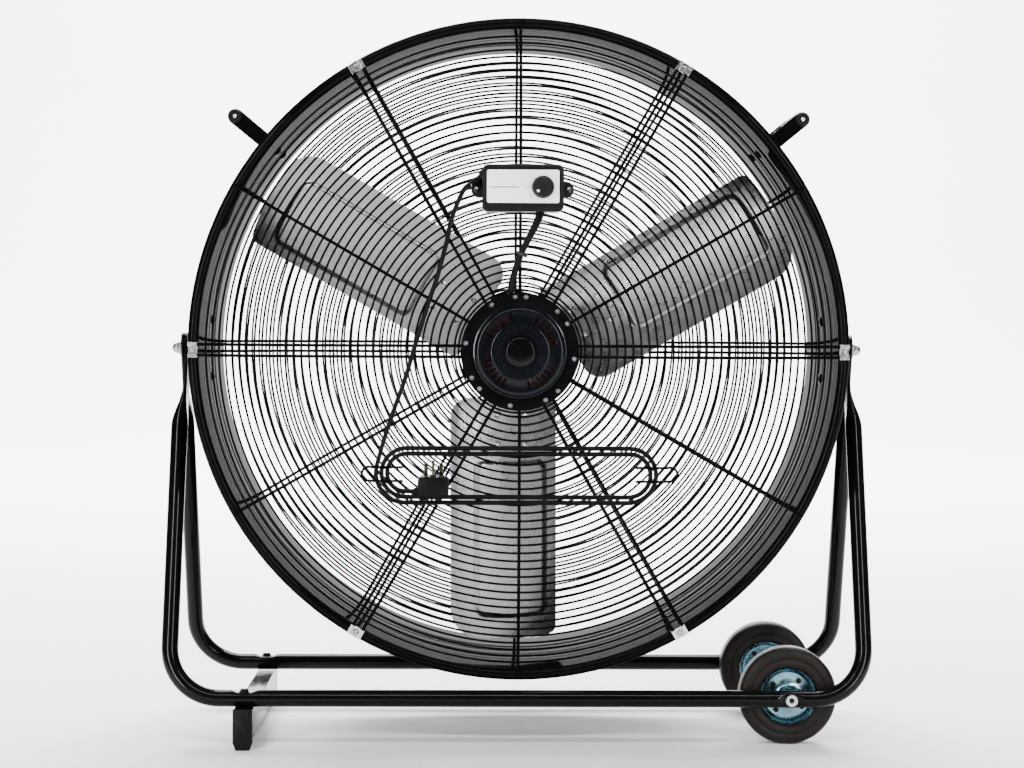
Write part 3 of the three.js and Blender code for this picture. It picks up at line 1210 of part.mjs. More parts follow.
function powerCord() {
  const start = CORD_START.clone();
  const second = start.clone().addScaledVector(RELIEF_DIRECTION, 9);
  const end = HANK_BEGIN.clone().addScaledVector(HANK_HEADING, -SEAT_GAP);
  const beforeEnd = end.clone().addScaledVector(HANK_HEADING, -9);
  const route = CORD_ROUTE.map(([x, z], i) => new THREE.Vector3(x, i === 0 ? CORD_Y - 1.5 : CORD_Y, z));
  const curve = new THREE.CatmullRomCurve3([start, second, ...route, beforeEnd, end], false, 'centripetal');
  return tube(curve, CORD_RADIUS, CORD_SIDES, CORD_STEPS);
}

function mainsPlug() {
  const back = -GUARD_FACE_Y - SEAT_GAP;
  const top = PLUG_BOTTOM + PLUG_HEIGHT;
  const middle = (PLUG_X[0] + PLUG_X[1]) / 2;
  const shape = outline([
    [PLUG_X[0], PLUG_BOTTOM],
    [PLUG_X[1], PLUG_BOTTOM],
    [PLUG_X[1], top - PLUG_CHAMFER],
    [PLUG_X[1] - PLUG_CHAMFER, top],
    [PLUG_X[0] + PLUG_CHAMFER, top],
    [PLUG_X[0], top - PLUG_CHAMFER],
  ]);
  const body = slab(shape, back - PLUG_DEPTH, back);
  const pinBox = ({ size: [width, depth], length }, x, y) => (
    block([width, depth, length + 4], [x, y, top + length / 2 - 2])
  );
  const lineY = back - LINE_PINS.inside;
  const pins = [-1, 1].map((hand) => pinBox(LINE_PINS, middle + (hand * LINE_PINS.spacing) / 2, lineY));
  return join(body, ...pins, pinBox(EARTH_PIN, middle, lineY - EARTH_PIN.away));
}

// A hairpin of wire clipped to the guard outside the hank, with its two legs over the hank's end.
function cordHook([freeEnd, outerEnd]) {
  const hand = Math.sign(outerEnd);
  const over = CORD_Y - CORD_RADIUS - SEAT_GAP - HOOK_WIRE;
  const seated = -GUARD_FACE_Y - SEAT_GAP - HOOK_WIRE;
  const bend = outerEnd - hand * HOOK_HALF_GAP;
  const [leaving, nearing, lying] = HOOK_BENDS.map((back) => bend - hand * back);
  const leg = (z) => [[freeEnd, over, z], [leaving, over, z], [nearing, over + HOOK_WIRE, z], [lying, seated, z]];
  const curl = HOOK_CURL.map((degrees) => {
    const angle = THREE.MathUtils.degToRad(degrees);
    return [bend + hand * HOOK_HALF_GAP * Math.cos(angle), seated, HOOK_HALF_GAP * Math.sin(angle)];
  });
  const route = [...leg(-HOOK_HALF_GAP), ...curl, ...leg(HOOK_HALF_GAP).reverse()];
  const points = route.map(([x, y, z]) => new THREE.Vector3(x, y, z + HANK_HEIGHT));
  return wire(points, HOOK_WIRE, HOOK_SIDES);
}

function leadCurve() {
  const [x, z] = LEAD_THROUGH;
  const radial = new THREE.Vector3(x, 0, z).normalize();
  const entry = (out) => radial.clone().multiplyScalar(MOTOR_RADIUS + out).setY(LEAD_ENTRY_DEPTH - GUARD_FACE_Y);
  const route = LEAD_ROUTE.map(onGuard);
  const dive = LEAD_DIVE.map(([out, up]) => onGuard([x, out, z + up]));
  const points = [...route, ...dive, entry(LEAD_STRAIGHT), entry(2 * SEAT_GAP)];
  return new THREE.CatmullRomCurve3(points, false, 'centripetal');
}

function motorLead() {
  return tube(leadCurve(), LEAD_RADIUS, CORD_SIDES, LEAD_STEPS);
}

function leadTie() {
  const { radius, width, at } = LEAD_TIE;
  const curve = leadCurve();
  const inner = LEAD_RADIUS + SEAT_GAP;
  const band = turned('y', [[inner, -width / 2], [radius, -width / 2], [radius, width / 2], [inner, width / 2]], 16);
  band.applyQuaternion(new THREE.Quaternion().setFromUnitVectors(new THREE.Vector3(0, 1, 0), curve.getTangentAt(at)));
  return band.translate(...curve.getPointAt(at).toArray());
}

// ---- the whole --------------------------------------------------------------------------------------
const stand = group(
  piece('rear_base_frame', baseFrame(-1, INNER_STRAP_X), GLOSS_BLACK),
  piece('front_base_frame', baseFrame(1, OUTER_STRAP_X), GLOSS_BLACK),
  piece('foot_bar', footBar(), GLOSS_BLACK),
  piece('rear_foot_cap', footCap(-1), SATIN_BLACK),
  piece('front_foot_cap', footCap(1), SATIN_BLACK),
  piece('rear_foot_bolt', footBolt(-1), GLOSS_BLACK),
  piece('front_foot_bolt', footBolt(1), GLOSS_BLACK),
  piece('wheel_axle', wheelAxle(), ZINC),
  piece('axle_nut', axleNut(), ZINC),
  wheel('rear', -1),
  wheel('front', 1),
  sides((name, hand) => piece(`${name}_pivot_bolt`, pivotBolt(hand), ZINC)),
  sides((name, hand) => piece(`${name}_dome_nut`, domeNut(hand), BARE_STEEL)),
);

const drum = group(
  piece('drum_shell', drumShell(), GLOSS_BLACK),
  piece('rear_guard', rearGuard(), WIRE_BLACK),
  piece('front_guard', frontGuard(), WIRE_BLACK),
  Array.from({ length: 6 }, (_, i) => piece(`rear_clip_${i + 1}`, rimClip(i), ZINC)),
  sides((name, hand) => piece(`${name}_pivot_bracket`, pivotBracket(hand), GLOSS_BLACK)),
  sides(handle),
  piece('motor_flange', motorFlange(), GLOSS_BLACK),
  piece('motor_rear_bell', rearBell(), MOTOR_BLACK),
  piece('motor_front_bell', frontBell(), MOTOR_BLACK),
  piece('stator_winding', stator(), COPPER),
  piece('rear_bearing', bearing(REAR_BEARING_Y), BARE_STEEL),
  piece('front_bearing', bearing(FRONT_BEARING_Y), BARE_STEEL),
  piece('bearing_cap', bearingCap(), GLOSS_BLACK),
  piece('control_box', controlBox(), SATIN_BLACK),
  piece('control_box_lid', boxLid(), SATIN_BLACK),
  piece('face_plate', facePlate(), SILVER_PLATE),
  piece('rotary_switch', rotarySwitch(), SATIN_BLACK),
  piece('run_capacitor', runCapacitor(), CAPACITOR_GREY),
  piece('speed_knob', speedKnob(), SATIN_BLACK),
  piece('cord_gland', cordGland(), CORD_BLACK),
  piece('power_cord', powerCord(), CORD_BLACK),
  piece('cord_hank', cordHank(), CORD_BLACK),
  piece('mains_plug', mainsPlug(), CORD_BLACK),
  sides((name, hand) => piece(`${name}_cord_hook`, cordHook(HOOK_ENDS[hand < 0 ? 0 : 1]), WIRE_BLACK)),
  piece('motor_lead', motorLead(), CORD_BLACK),
  piece('lead_tie', leadTie(), TIE_GREY),
);
drum.position.z = PIVOT_HEIGHT;

const fan = group(
  piece('rotor_shaft', rotorShaft(), BARE_STEEL),
  piece('blade_spider', bladeSpider(), BARE_STEEL),
  Array.from({ length: BLADE_COUNT }, (_, i) => piece(`blade_${i + 1}`, turnToBlade(blade(), i), ALUMINIUM)),
);
fan.position.z = PIVOT_HEIGHT;

const drumFan = group(stand, drum, fan);
drumFan.name = 'drum_fan';
drumFan.position.y = ORIGIN_Y;

export default drumFan;
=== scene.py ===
import math

import bmesh
import bpy
from mathutils import Matrix, Vector


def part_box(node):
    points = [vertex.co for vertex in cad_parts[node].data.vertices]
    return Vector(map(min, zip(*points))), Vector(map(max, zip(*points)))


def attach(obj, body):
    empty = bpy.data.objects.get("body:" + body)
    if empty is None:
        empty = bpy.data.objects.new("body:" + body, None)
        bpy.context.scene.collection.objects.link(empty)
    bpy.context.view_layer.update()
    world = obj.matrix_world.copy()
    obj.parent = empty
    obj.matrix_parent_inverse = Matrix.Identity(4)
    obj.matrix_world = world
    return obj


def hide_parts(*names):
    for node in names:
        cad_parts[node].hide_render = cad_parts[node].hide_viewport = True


bl_info = {
    "name": "Drum fan",
    "version": (1, 0, 0),
    "blender": (4, 5, 0),
    "location": "3D Viewport > Sidebar > Drum fan",
    "description": "Dresses a drum fan: drum, guards, motor, blades, control box, cord and stand",
    "category": "Add Mesh",
}

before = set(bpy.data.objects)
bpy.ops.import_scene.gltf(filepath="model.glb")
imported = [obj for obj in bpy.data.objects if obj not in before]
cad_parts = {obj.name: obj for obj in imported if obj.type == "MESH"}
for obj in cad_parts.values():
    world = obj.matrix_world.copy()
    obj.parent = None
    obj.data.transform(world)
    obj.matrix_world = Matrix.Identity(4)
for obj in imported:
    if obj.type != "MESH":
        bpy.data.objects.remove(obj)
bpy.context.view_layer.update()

# Pieces are made in millimetres, from the middle of the drum or of the floor under it, and finished
# in metres where they belong. +X is to the right seen from the air inlet, +Y the way the air blows.
TO_METRES = 0.001
CLEARANCE = 0.3  # between pieces that lie on each other
MIDDLE_Y = 30.95  # the drum's middle, along the air's way
PIVOT_HEIGHT = 588
DRUM_AT = (0, MIDDLE_Y, PIVOT_HEIGHT)
STAND_AT = (0, MIDDLE_Y, 0)

# ---- stand
STAND_WIDTH = 1060
BEND_RADIUS = 76
TUBE_Y = 155
AXLE_HEIGHT = 73
LEG_LEAN = math.atan2(TUBE_Y, PIVOT_HEIGHT - AXLE_HEIGHT)
LEG_LENGTH = math.hypot(TUBE_Y, PIVOT_HEIGHT - AXLE_HEIGHT)
STRAP_THICKNESS = 5.5
STRAP_HALF_WIDTH = 18
STRAP_TOP = 24
STRAP_LENGTH = 62
FLARE_LENGTH = 62
STRAP_X = {-1: 509.75, 1: 515.55}  # rear frame's strap is the inner one
STRAP_OUTSIDE_X = 518.3
DENT_DEPTH = 3.5
DENT_LENGTH = 22
FOOT_X = -404.5
FOOT_BAR = (29, 342, 45)
FOOT_BAR_TOP = 60
FOOT_CAP_THICKNESS = 9
WHEEL_X = 405
WHEEL_Y = 119
TYRE_HALF_WIDTH = 18
RIM_RADIUS = 43
HUB_HALF_LENGTH = 20
HUB_RADIUS = 13
SLEEVE_RADIUS = 9.5
AXLE_RADIUS = 6
AXLE_SEAT = 164.5
RIM_BOLTS = (27.5, (128, 38, -52, -142))  # radius and degrees

# ---- tilt pivot and handles
BRACKET_FACE_X = 506.7
BRACKET_PLATE = 3
BRACKET_HALF_WIDTH = 30
BRACKET_BOLT_AT = 44  # above and below the pivot
DRUM_OUTSIDE_X = 475
BOLT_INSIDE_X = 472.9
HANDLE_ANGLE = math.radians(39.3)
HANDLE_GRIP_AT = 552
HANDLE_STRAP = (11.5, 4)
HANDLE_HALF_SPAN = 74
HANDLE_BOLT_AT = 38
GRIP_RADIUS = 12

# ---- drum and guards
RIM_BEAD = 8.25
DRUM_WALL = 1.5
GUARD_FLAT = 290  # the guard is flat inside this radius and domed outside it
GUARD_DOME = 340
GUARD_EDGE = 461
GUARD_EDGE_Y = 152.3
GUARD_LINE_Y = 198.43  # middle line of its flat part
GUARD_FACE_Y = 200.43
FIRST_RING = 95
SPOKE_START = 80
SPOKE_END = 486
SPOKE_PAIR_OFFSET = 8
CLIP_REACH = (473.5, 487.5)

# ---- motor
MOTOR_RADIUS = 66
MOTOR_REAR_Y = -217
MOTOR_FRONT_Y = -106
MOTOR_SPLIT_Y = -160
MOUNT_PLATE = 86
BOSS_RADIUS = 41
CAP_RADIUS = 23
VENT_AT = 50
VENTS_PER_GROUP = 6
VENT_STEP = math.radians(9.3)
VENT_TURN = math.radians(38.4)
PLATE_SEAT_Y = -196.13
PLATE_SCREW_AT = 79.5
PLATE_SCREWS = (95.4, 83.9, 121.5, 47.2, 30.7, 171.4, -7.6, 208.7, 222.7, 260.1, 298.2, 314.3)

# ---- fan
FAN_Y = -22
BLADE_COUNT = 3
BLADE_FIRST = math.radians(30.3)
BLADE_PITCH = 0.4
BLADE_CAMBER = 7
BLADE_ROOT = 78
BLADE_TIP = 447
BLADE_EDGES = (-60, 103)
BLADE_CORNERS = (12, 38)  # trailing and leading
PANEL_LENGTHWAYS = (173, 414)
PANEL_ACROSS = (-44, 66)
PANEL_CORNER = 16
PANEL_SLOPE = 5
PANEL_HEIGHT = 4
ARM_ACROSS = (-22, 44)
ARM_END = 165
HUB_BOSS = (28, 24)
RIVETS = ((100, 148), (-10, 32))  # radii and places across the blade

# ---- control box
BOX_CENTRE = (2.7, 234.2)
BOX_SIZE = (117, 67)
BOX_CORNER = 9
BOX_BACK_Y = -200.73
BOX_FRONT_Y = -240.73
LID_FRONT_Y = -246.03
FACE_PLATE = (103, 47)
FACE_PLATE_Y = -247.53
FACE_PLATE_RISE = 2
EAR_X = 64.9
KNOB_CENTRE = (30.9, 235.3)
KNOB_RADIUS = 16
KNOB_BACK_Y = -247.83
KNOB_FRONT_Y = -263.83
POINTER_ANGLE = math.radians(221)
DIAL_STEP = math.radians(41)

# ---- cord, plug, hooks and lead
CORD_Y = -204.23
CORD_EXIT = (-54, -214, 252)
RELIEF_DROOP = math.radians(32)
RELIEF = (6.5, 4.6, 21)
CORD_ROUTE = (
    (-99.6, 191), (-106.1, 160.8), (-121.2, 104.1), (-131.8, 73.2), (-151.8, 8.6),
    (-167.2, -43), (-184, -90),
)
HANK_CENTRES = (-164.5, 159)
HANK_HEIGHT = -177.7
HANK_RADIUS = 44
HANK_PITCH = 8.2
HANK_START = 165
HANK_END = HANK_START + 825
HANK_LEAD_IN = 20
PLUG_X = (-146.4, -102.4)
PLUG_DEPTH = 44
PLUG_HEIGHT = 28
HOOK_ENDS = ((-170, -228.5), (169.7, 229.7))
HOOK_WIRE = 2
HOOK_HALF_GAP = 10
LEAD_ROUTE = ((30, -212, 207), (25, -211, 190), (0.8, -208, 141.2), (-9, -208, 112), (-12.6, -207, 98))
LEAD_THROUGH = (-13.3, 87.4)
LEAD_TURN = (-190, -179)
LEAD_TIE_AT = 12  # point of the lead's path
STRAND_RADIUS = 3.1
STRAND_ASIDE = 3.6


# ---- what a user would change ------------------------------------------------------------------------
def length(name, description, metres):
    """A length setting, kept in metres."""
    return bpy.props.FloatProperty(
        name=name, description=description, default=metres, min=0.0001, unit="LENGTH", subtype="DISTANCE",
        precision=4,
    )


def colour(name, description, value):
    """A colour setting."""
    return bpy.props.FloatVectorProperty(
        name=name, description=description, default=value, size=3, min=0, max=1, subtype="COLOR"
    )


def share(name, description, value):
    """A setting from 0 to 1."""
    return bpy.props.FloatProperty(
        name=name, description=description, default=value, min=0, max=1, subtype="FACTOR"
    )


class DrumFanSizes(bpy.types.PropertyGroup):
    """Sizes of the dressed pieces."""

    drum_radius: length("Drum radius", "Over the rolled rims of the drum", 0.4895)
    drum_depth: length("Drum depth", "From rim to rim", 0.3)
    ring_wire: length("Ring wire", "Radius of the wire of the guards' rings", 0.0016)
    ring_pitch: length("Ring pitch", "From one ring of a guard to the next", 0.0117)
    spoke_wire: length("Spoke wire", "Radius of the wire of the guards' spokes", 0.0024)
    tube_radius: length("Tube radius", "Of the stand's bent tubes", 0.0127)
    wheel_radius: length("Wheel radius", "Over the tyre", 0.073)
    cord_radius: length("Cord radius", "Of the mains cord", 0.0035)
    lead_radius: length("Lead radius", "Of the lead from the control box to the motor", 0.00475)
    blade_sheet: length("Blade sheet", "Thickness of the pressed blades", 0.002)


class DrumFanColours(bpy.types.PropertyGroup):
    """Colours and wear of the finishes."""

    paint: colour("Paint", "Gloss black paint of the drum and stand", (0.0016, 0.0016, 0.0017))
    wire: colour("Wire", "Black dip coat of the guards", (0.0011, 0.0011, 0.0012))
    plastic: colour("Plastic", "Moulded black plastic", (0.0035, 0.0035, 0.0038))
    motor: colour("Motor", "Dark paint of the motor's housing", (0.0016, 0.0021, 0.0030))
    zinc: colour("Zinc", "Bright zinc plate", (0.62, 0.63, 0.65))
    rim: colour("Wheel rim", "Blue passivated zinc plate", (0.20, 0.35, 0.41))
    blade: colour("Blade", "Mill-finish aluminium sheet", (0.27, 0.275, 0.285))
    copper: colour("Copper", "Varnished winding", (0.42, 0.09, 0.03))
    wear: share("Wear", "How far the paint is rubbed along its edges", 0.04)
    dust: share("Dust", "How much dust lies on upward faces", 0.015)


def sizes():
    """The size settings."""
    return bpy.context.scene.drum_fan_sizes


def colours():
    """The colour settings."""
    return bpy.context.scene.drum_fan_colours


def mm(metres):
    """A setting in millimetres."""
    return metres / TO_METRES


# ---- making shapes -----------------------------------------------------------------------------------
def blend(start, end, share_of_way):
    """The value so far along from start to end."""
    return start + (end - start) * share_of_way


def smooth(share_of_way):
    """Rises from 0 to 1 with a level start and end."""
    t = min(max(share_of_way, 0), 1)
    return t * t * (3 - 2 * t)


def verts_of(geom):
    """The points among the results of an operation on a shape."""
    return [v for v in geom if isinstance(v, bmesh.types.BMVert)]


def bevel(bm, edges, offset, segments=2):
    """Rounds the edges over."""
    bmesh.ops.bevel(
        bm, geom=list(edges), offset=offset, offset_type="OFFSET", segments=segments, profile=0.5,
        affect="EDGES", clamp_overlap=True, material=-1,
    )


def sharp_edges(bm, least=0.5):
    """The edges whose faces meet at more than so many radians."""
    return [e for e in bm.edges if e.calc_face_angle(0) > least]


def add(bm, part, *places):
    """Adds a finished shape to another one, once at each place, and lets go of it."""
    mesh = bpy.data.meshes.new("part")
    part.to_mesh(mesh)
    part.free()
    for place in places or (Matrix(),):
        copy = mesh.copy()
        copy.transform(place)
        if place.determinant() < 0:
            copy.flip_normals()
        bm.from_mesh(copy)
        bpy.data.meshes.remove(copy)
    bpy.data.meshes.remove(mesh)
    return bm


def spun(bm, geom, steps):
    """Spins a profile full circle round Y and joins the end to the start."""
    bmesh.ops.spin(
        bm, geom=geom, cent=(0, 0, 0), axis=(0, 1, 0), angle=2 * math.pi, steps=steps, use_merge=True
    )
    bmesh.ops.remove_doubles(bm, verts=bm.verts, dist=1e-3)


def turned(profile, segments, closed=True):
    """Turns a profile of (radius, place along Y) points full circle round Y."""
    bm = bmesh.new()
    row = [bm.verts.new((radius, at, 0)) for radius, at in profile]
    edges = [bm.edges.new(pair) for pair in zip(row, row[1:])]
    if closed and profile[0][0] > 0:
        edges.append(bm.edges.new((row[-1], row[0])))
    spun(bm, row + edges, segments)
    bmesh.ops.dissolve_degenerate(bm, dist=1e-4, edges=bm.edges)
    bmesh.ops.recalc_face_normals(bm, faces=bm.faces)
    return bm


def rings(row, wire, segments, around=8):
    """Wire rings round Y, each given by (radius, place along Y)."""
    bm = bmesh.new()
    for radius, at in row:
        place = Matrix.Translation((radius, at, 0))
        bmesh.ops.create_circle(bm, cap_ends=False, radius=wire, segments=around, matrix=place)
    spun(bm, list(bm.verts) + list(bm.edges), segments)
    bmesh.ops.recalc_face_normals(bm, faces=bm.faces)
    return bm


def swept(places, around=12):
    """A bar through a row of placed discs. Each place takes the unit circle to a section of the bar."""
    bm = bmesh.new()
    first = bmesh.ops.create_circle(bm, cap_ends=True, radius=1, segments=around, matrix=places[0])["verts"]
    face = first[0].link_faces[0]
    sections = [(first, places[0])]
    for before, place in zip(places, places[1:]):
        moved = bmesh.ops.extrude_face_region(bm, geom=[face])["geom"]
        verts = verts_of(moved)
        face = next(f for f in moved if isinstance(f, bmesh.types.BMFace))
        bmesh.ops.transform(bm, matrix=place @ before.inverted(), verts=verts)
        sections.append((verts, place))
    bmesh.ops.recalc_face_normals(bm, faces=bm.faces)
    return bm, sections


def discs_along(points, radius):
    """A disc square to a path at each of its points. radius is one number or one for each point."""
    points = [Vector(point) for point in points]
    radii = radius if isinstance(radius, (list, tuple)) else [radius] * len(points)
    side = None
    places = []
    for i, point in enumerate(points):
        ahead = (points[min(i + 1, len(points) - 1)] - points[max(i - 1, 0)]).normalized()
        side = ahead.orthogonal() if side is None else side - ahead * side.dot(ahead)
        side.normalize()
        over = ahead.cross(side)
        place = Matrix((side * radii[i], over * radii[i], ahead)).transposed().to_4x4()
        place.translation = point
        places.append(place)
    return places


def bar(points, radius, around=12):
    """A round bar or wire along a path."""
    return swept(discs_along(points, radius), around)[0]


def block(size, centre=(0, 0, 0), edge=0.5, segments=2):
    """A block with rounded edges."""
    bm = bmesh.new()
    place = Matrix.Translation(centre) @ Matrix.Diagonal((*size, 1))
    bmesh.ops.create_cube(bm, size=1, matrix=place)
    bevel(bm, bm.edges, edge, segments)
    return bm


def prism(points, start, end, edge=0.4, segments=2):
    """An outline of (x, z) points drawn out along Y, with its sharp edges rounded."""
    bm = bmesh.new()
    face = bm.faces.new([bm.verts.new((x, start, z)) for x, z in points])
    moved = bmesh.ops.extrude_face_region(bm, geom=[face])["geom"]
    bmesh.ops.translate(bm, vec=(0, end - start, 0), verts=verts_of(moved))
    bmesh.ops.recalc_face_normals(bm, faces=bm.faces)
    if edge:
        bevel(bm, sharp_edges(bm), edge, segments)
    return bm


def case(width, height, back, front, centre, corner, edge, segments=3):
    """A box that faces the air inlet, with round corners and a rounded front edge."""
    bm = bmesh.new()
    middle = (centre[0], (back + front) / 2, centre[1])
    place = Matrix.Translation(middle) @ Matrix.Diagonal((width, abs(back - front), height, 1))
    bmesh.ops.create_cube(bm, size=1, matrix=place)
    along = [e for e in bm.edges if abs((e.verts[0].co - e.verts[1].co).normalized().y) > 0.99]
    bevel(bm, along, corner, 8)
    front_rim = [e for e in sharp_edges(bm, 1) if all(abs(v.co.y - front) < 0.01 for v in e.verts)]
    bevel(bm, front_rim, edge, segments)
    return bm


def screw(radius, height):
    """A round screw head with a socket, which stands up along +Y."""
    profile = [(0, 0), (radius, 0), (radius, 0.45 * height), (0.8 * radius, 0.9 * height), (0, height)]
    bm = turned(profile, 14)
    top = [f for f in bm.faces if all(v.co.y > 0.85 * height for v in f.verts)]
    bmesh.ops.inset_region(bm, faces=top, thickness=0.35 * radius, depth=0)
    socket = {v for f in top if f.is_valid for v in f.verts}
    bmesh.ops.translate(bm, vec=(0, -0.5 * height, 0), verts=list(socket))
    return bm


def hexagon_head(radius, height):
    """A hexagon bolt head or nut, which stands up along +Y."""
    bm = prism(hexagon(radius), 0, height, 0)
    bevel(bm, [e for e in bm.edges if all(v.co.y > 0.9 * height for v in e.verts)], 0.12 * radius, 2)
    return bm


def sixths():
    """The six angles of a full turn."""
    return [i * math.pi / 3 for i in range(6)]


def hexagon(radius):
    """The corners of a hexagon."""
    return [(radius * math.cos(a), radius * math.sin(a)) for a in sixths()]


def cut(bm, tool):
    """Takes the tool's shape out of a shape."""
    holders = []
    for shape in (bm, tool):
        mesh = bpy.data.meshes.new("cut")
        shape.to_mesh(mesh)
        shape.free()
        holders.append(linked_object("cut", mesh))
    solid, cutter = holders
    modifier = solid.modifiers.new("cut", "BOOLEAN")
    modifier.operation = "DIFFERENCE"
    modifier.solver = "EXACT"
    modifier.object = cutter
    graph = bpy.context.evaluated_depsgraph_get()
    result = bpy.data.meshes.new_from_object(solid.evaluated_get(graph))
    left = bmesh.new()
    left.from_mesh(result)
    bpy.data.meshes.remove(result)
    for holder in holders:
        mesh = holder.data
        bpy.data.objects.remove(holder)
        bpy.data.meshes.remove(mesh)
    return left


def rounding(centre, radius, start, end, steps):
    """Points (radius from the axis, place along it) round a corner, between two angles in degrees."""
    angles = [math.radians(blend(start, end, i / steps)) for i in range(steps + 1)]
    return [(centre[0] + radius * math.cos(a), centre[1] + radius * math.sin(a)) for a in angles]


def both_ways(half):
    """Half an outline and its mirror image, as one row of points."""
    return half + [(along, -aside) for along, aside in reversed(half)]


def half_turn(hand, axis="Z"):
    """Takes a shape to the other side, by half a turn round an axis, where hand is -1."""
    return Matrix.Rotation(math.pi, 4, axis) if hand < 0 else Matrix()


def along(way):
    """Turns a shape made along Y to a direction."""
    return Vector((0, 1, 0)).rotation_difference(way).to_matrix().to_4x4()


def sideways(x, hand=1):
    """Takes a shape that stands up along Y to a place on X, where it stands up outward or inward."""
    return Matrix.Translation((x, 0, 0)) @ Matrix.Rotation(-hand * math.pi / 2, 4, "Z")


def facing(angle, side, radius):
    """Takes a shape made with +Y from the middle and +Z outward to a place on the rim of a guard."""
    radial = Vector((math.cos(angle), 0, math.sin(angle)))
    tangent = Vector((-math.sin(angle), 0, math.cos(angle)))
    place = Matrix((tangent * side, radial, Vector((0, side, 0)))).transposed().to_4x4()
    place.translation = radial * radius
    return place


def toward_inlet(at):
    """Takes a shape that stands up along +Y to a place where it stands up towards the air inlet."""
    return Matrix.Translation(at) @ Matrix.Rotation(math.pi, 4, "X")


def finish(bm, name, body, look, replaced=(), at=DRUM_AT, angle=35, slot=None, place=Matrix()):
    """Makes a shape a piece: in metres, in its place, riding on its body and standing for its solids."""
    mesh = bpy.data.meshes.new(name)
    bm.to_mesh(mesh)
    bm.free()
    mesh.transform(Matrix.Scale(TO_METRES, 4) @ Matrix.Translation(at) @ place)
    mesh.polygons.foreach_set("use_smooth", [True] * len(mesh.polygons))
    mesh.set_sharp_from_angle(angle=math.radians(angle))
    mesh.materials.append(finish_named(look))
    piece = linked_object(name, mesh)
    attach(piece, body)
    if replaced:
        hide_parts(*replaced)
    return piece


def linked_object(name, data):
    """A new object in the scene."""
    made = bpy.data.objects.new(name, data)
    bpy.context.scene.collection.objects.link(made)
    return made


# ---- finishes ----------------------------------------------------------------------------------------
FINISH_PREFIX = "dressed_"  # keeps the finishes apart from the solids' own plain ones


def new_group(name, inputs, output):
    """A node group with named number inputs and one number output, and its own input and output nodes."""
    tree = bpy.data.node_groups.new(name, "ShaderNodeTree")
    for label, value in inputs.items():
        socket = tree.interface.new_socket(name=label, in_out="INPUT", socket_type="NodeSocketFloat")
        socket.default_value = value
    tree.interface.new_socket(name=output, in_out="OUTPUT", socket_type="NodeSocketFloat")
    return tree, tree.nodes.new("NodeGroupInput"), tree.nodes.new("NodeGroupOutput")


def node(tree, kind, settings=None, **inputs):
    """A new node with its settings and the values of its named inputs."""
    made = tree.nodes.new(kind)
    for name, value in (settings or {}).items():
        setattr(made, name, value)
    for name, value in inputs.items():
        made.inputs[name.replace("_", " ")].default_value = value
    return made


def link(tree, *pairs):
    """Links each output to its input."""
    for output, socket in pairs:
        tree.links.new(output, socket)


def noise_range(tree, start, place, low, high, **settings):
    """Noise at the group's scale, whose values from low to high are spread out."""
    noise = node(tree, "ShaderNodeTexNoise", **settings)
    spread = node(tree, "ShaderNodeMapRange", From_Min=low, From_Max=high)
    link(tree, (place, noise.inputs["Vector"]), (start.outputs["Scale"], noise.inputs["Scale"]),
         (noise.outputs[0], spread.inputs["Value"]))
    return spread


def object_place(tree):
    """Where a point is on the object."""
    return node(tree, "ShaderNodeTexCoord").outputs["Object"]


def mottle_group():
    """Soft patches over the surface, between a low and a high value."""
    inputs = {"Scale": 40.0, "Low": 0.0, "High": 1.0, "Along X": 1.0, "Along Y": 1.0, "Along Z": 1.0}
    tree, start, end = new_group("patches", inputs, "Value")
    stretch = node(tree, "ShaderNodeCombineXYZ")
    scaled = node(tree, "ShaderNodeVectorMath", {"operation": "MULTIPLY"})
    link(tree, *((start.outputs["Along " + axis], stretch.inputs[axis]) for axis in "XYZ"))
    link(tree, (object_place(tree), scaled.inputs[0]), (stretch.outputs[0], scaled.inputs[1]))
    spread = noise_range(tree, start, scaled.outputs[0], 0.3, 0.7, Detail=5.0, Roughness=0.6)
    link(tree, (start.outputs["Low"], spread.inputs["To Min"]),
         (start.outputs["High"], spread.inputs["To Max"]),
         (spread.outputs[0], end.inputs["Value"]))
    return tree


def masked(tree, start, end, mask, patches):
    """Ends a group with its mask, broken up by patches, times its amount."""
    both = node(tree, "ShaderNodeMath", {"operation": "MULTIPLY"})
    amount = node(tree, "ShaderNodeMath", {"operation": "MULTIPLY", "use_clamp": True})
    link(tree, (mask.outputs[0], both.inputs[0]), (patches.outputs[0], both.inputs[1]),
         (both.outputs[0], amount.inputs[0]), (start.outputs["Amount"], amount.inputs[1]),
         (amount.outputs[0], end.inputs["Mask"]))
    return tree


def worn_edges_group():
    """A mask of the edges that rub bright, broken up by fine patches."""
    tree, start, end = new_group("worn edges", {"Amount": 0.3, "Scale": 180.0}, "Mask")
    edge = node(tree, "ShaderNodeMapRange", From_Min=0.53, From_Max=0.62)
    link(tree, (node(tree, "ShaderNodeNewGeometry").outputs["Pointiness"], edge.inputs["Value"]))
    patchy = noise_range(tree, start, object_place(tree), 0.45, 0.62, Detail=4.0)
    return masked(tree, start, end, edge, patchy)


def settled_dust_group():
    """A mask of the dust that lies on faces that look up."""
    tree, start, end = new_group("settled dust", {"Amount": 0.2, "Scale": 60.0}, "Mask")
    parts = node(tree, "ShaderNodeSeparateXYZ")
    upward = node(tree, "ShaderNodeMapRange", From_Min=0.35, From_Max=1.0)
    link(tree, (node(tree, "ShaderNodeNewGeometry").outputs["Normal"], parts.inputs[0]),
         (parts.outputs["Z"], upward.inputs["Value"]))
    patchy = noise_range(tree, start, object_place(tree), 0.35, 0.7, Detail=6.0, Roughness=0.7)
    return masked(tree, start, end, upward, patchy)


GROUP_MAKERS = {"patches": mottle_group, "worn edges": worn_edges_group, "settled dust": settled_dust_group}


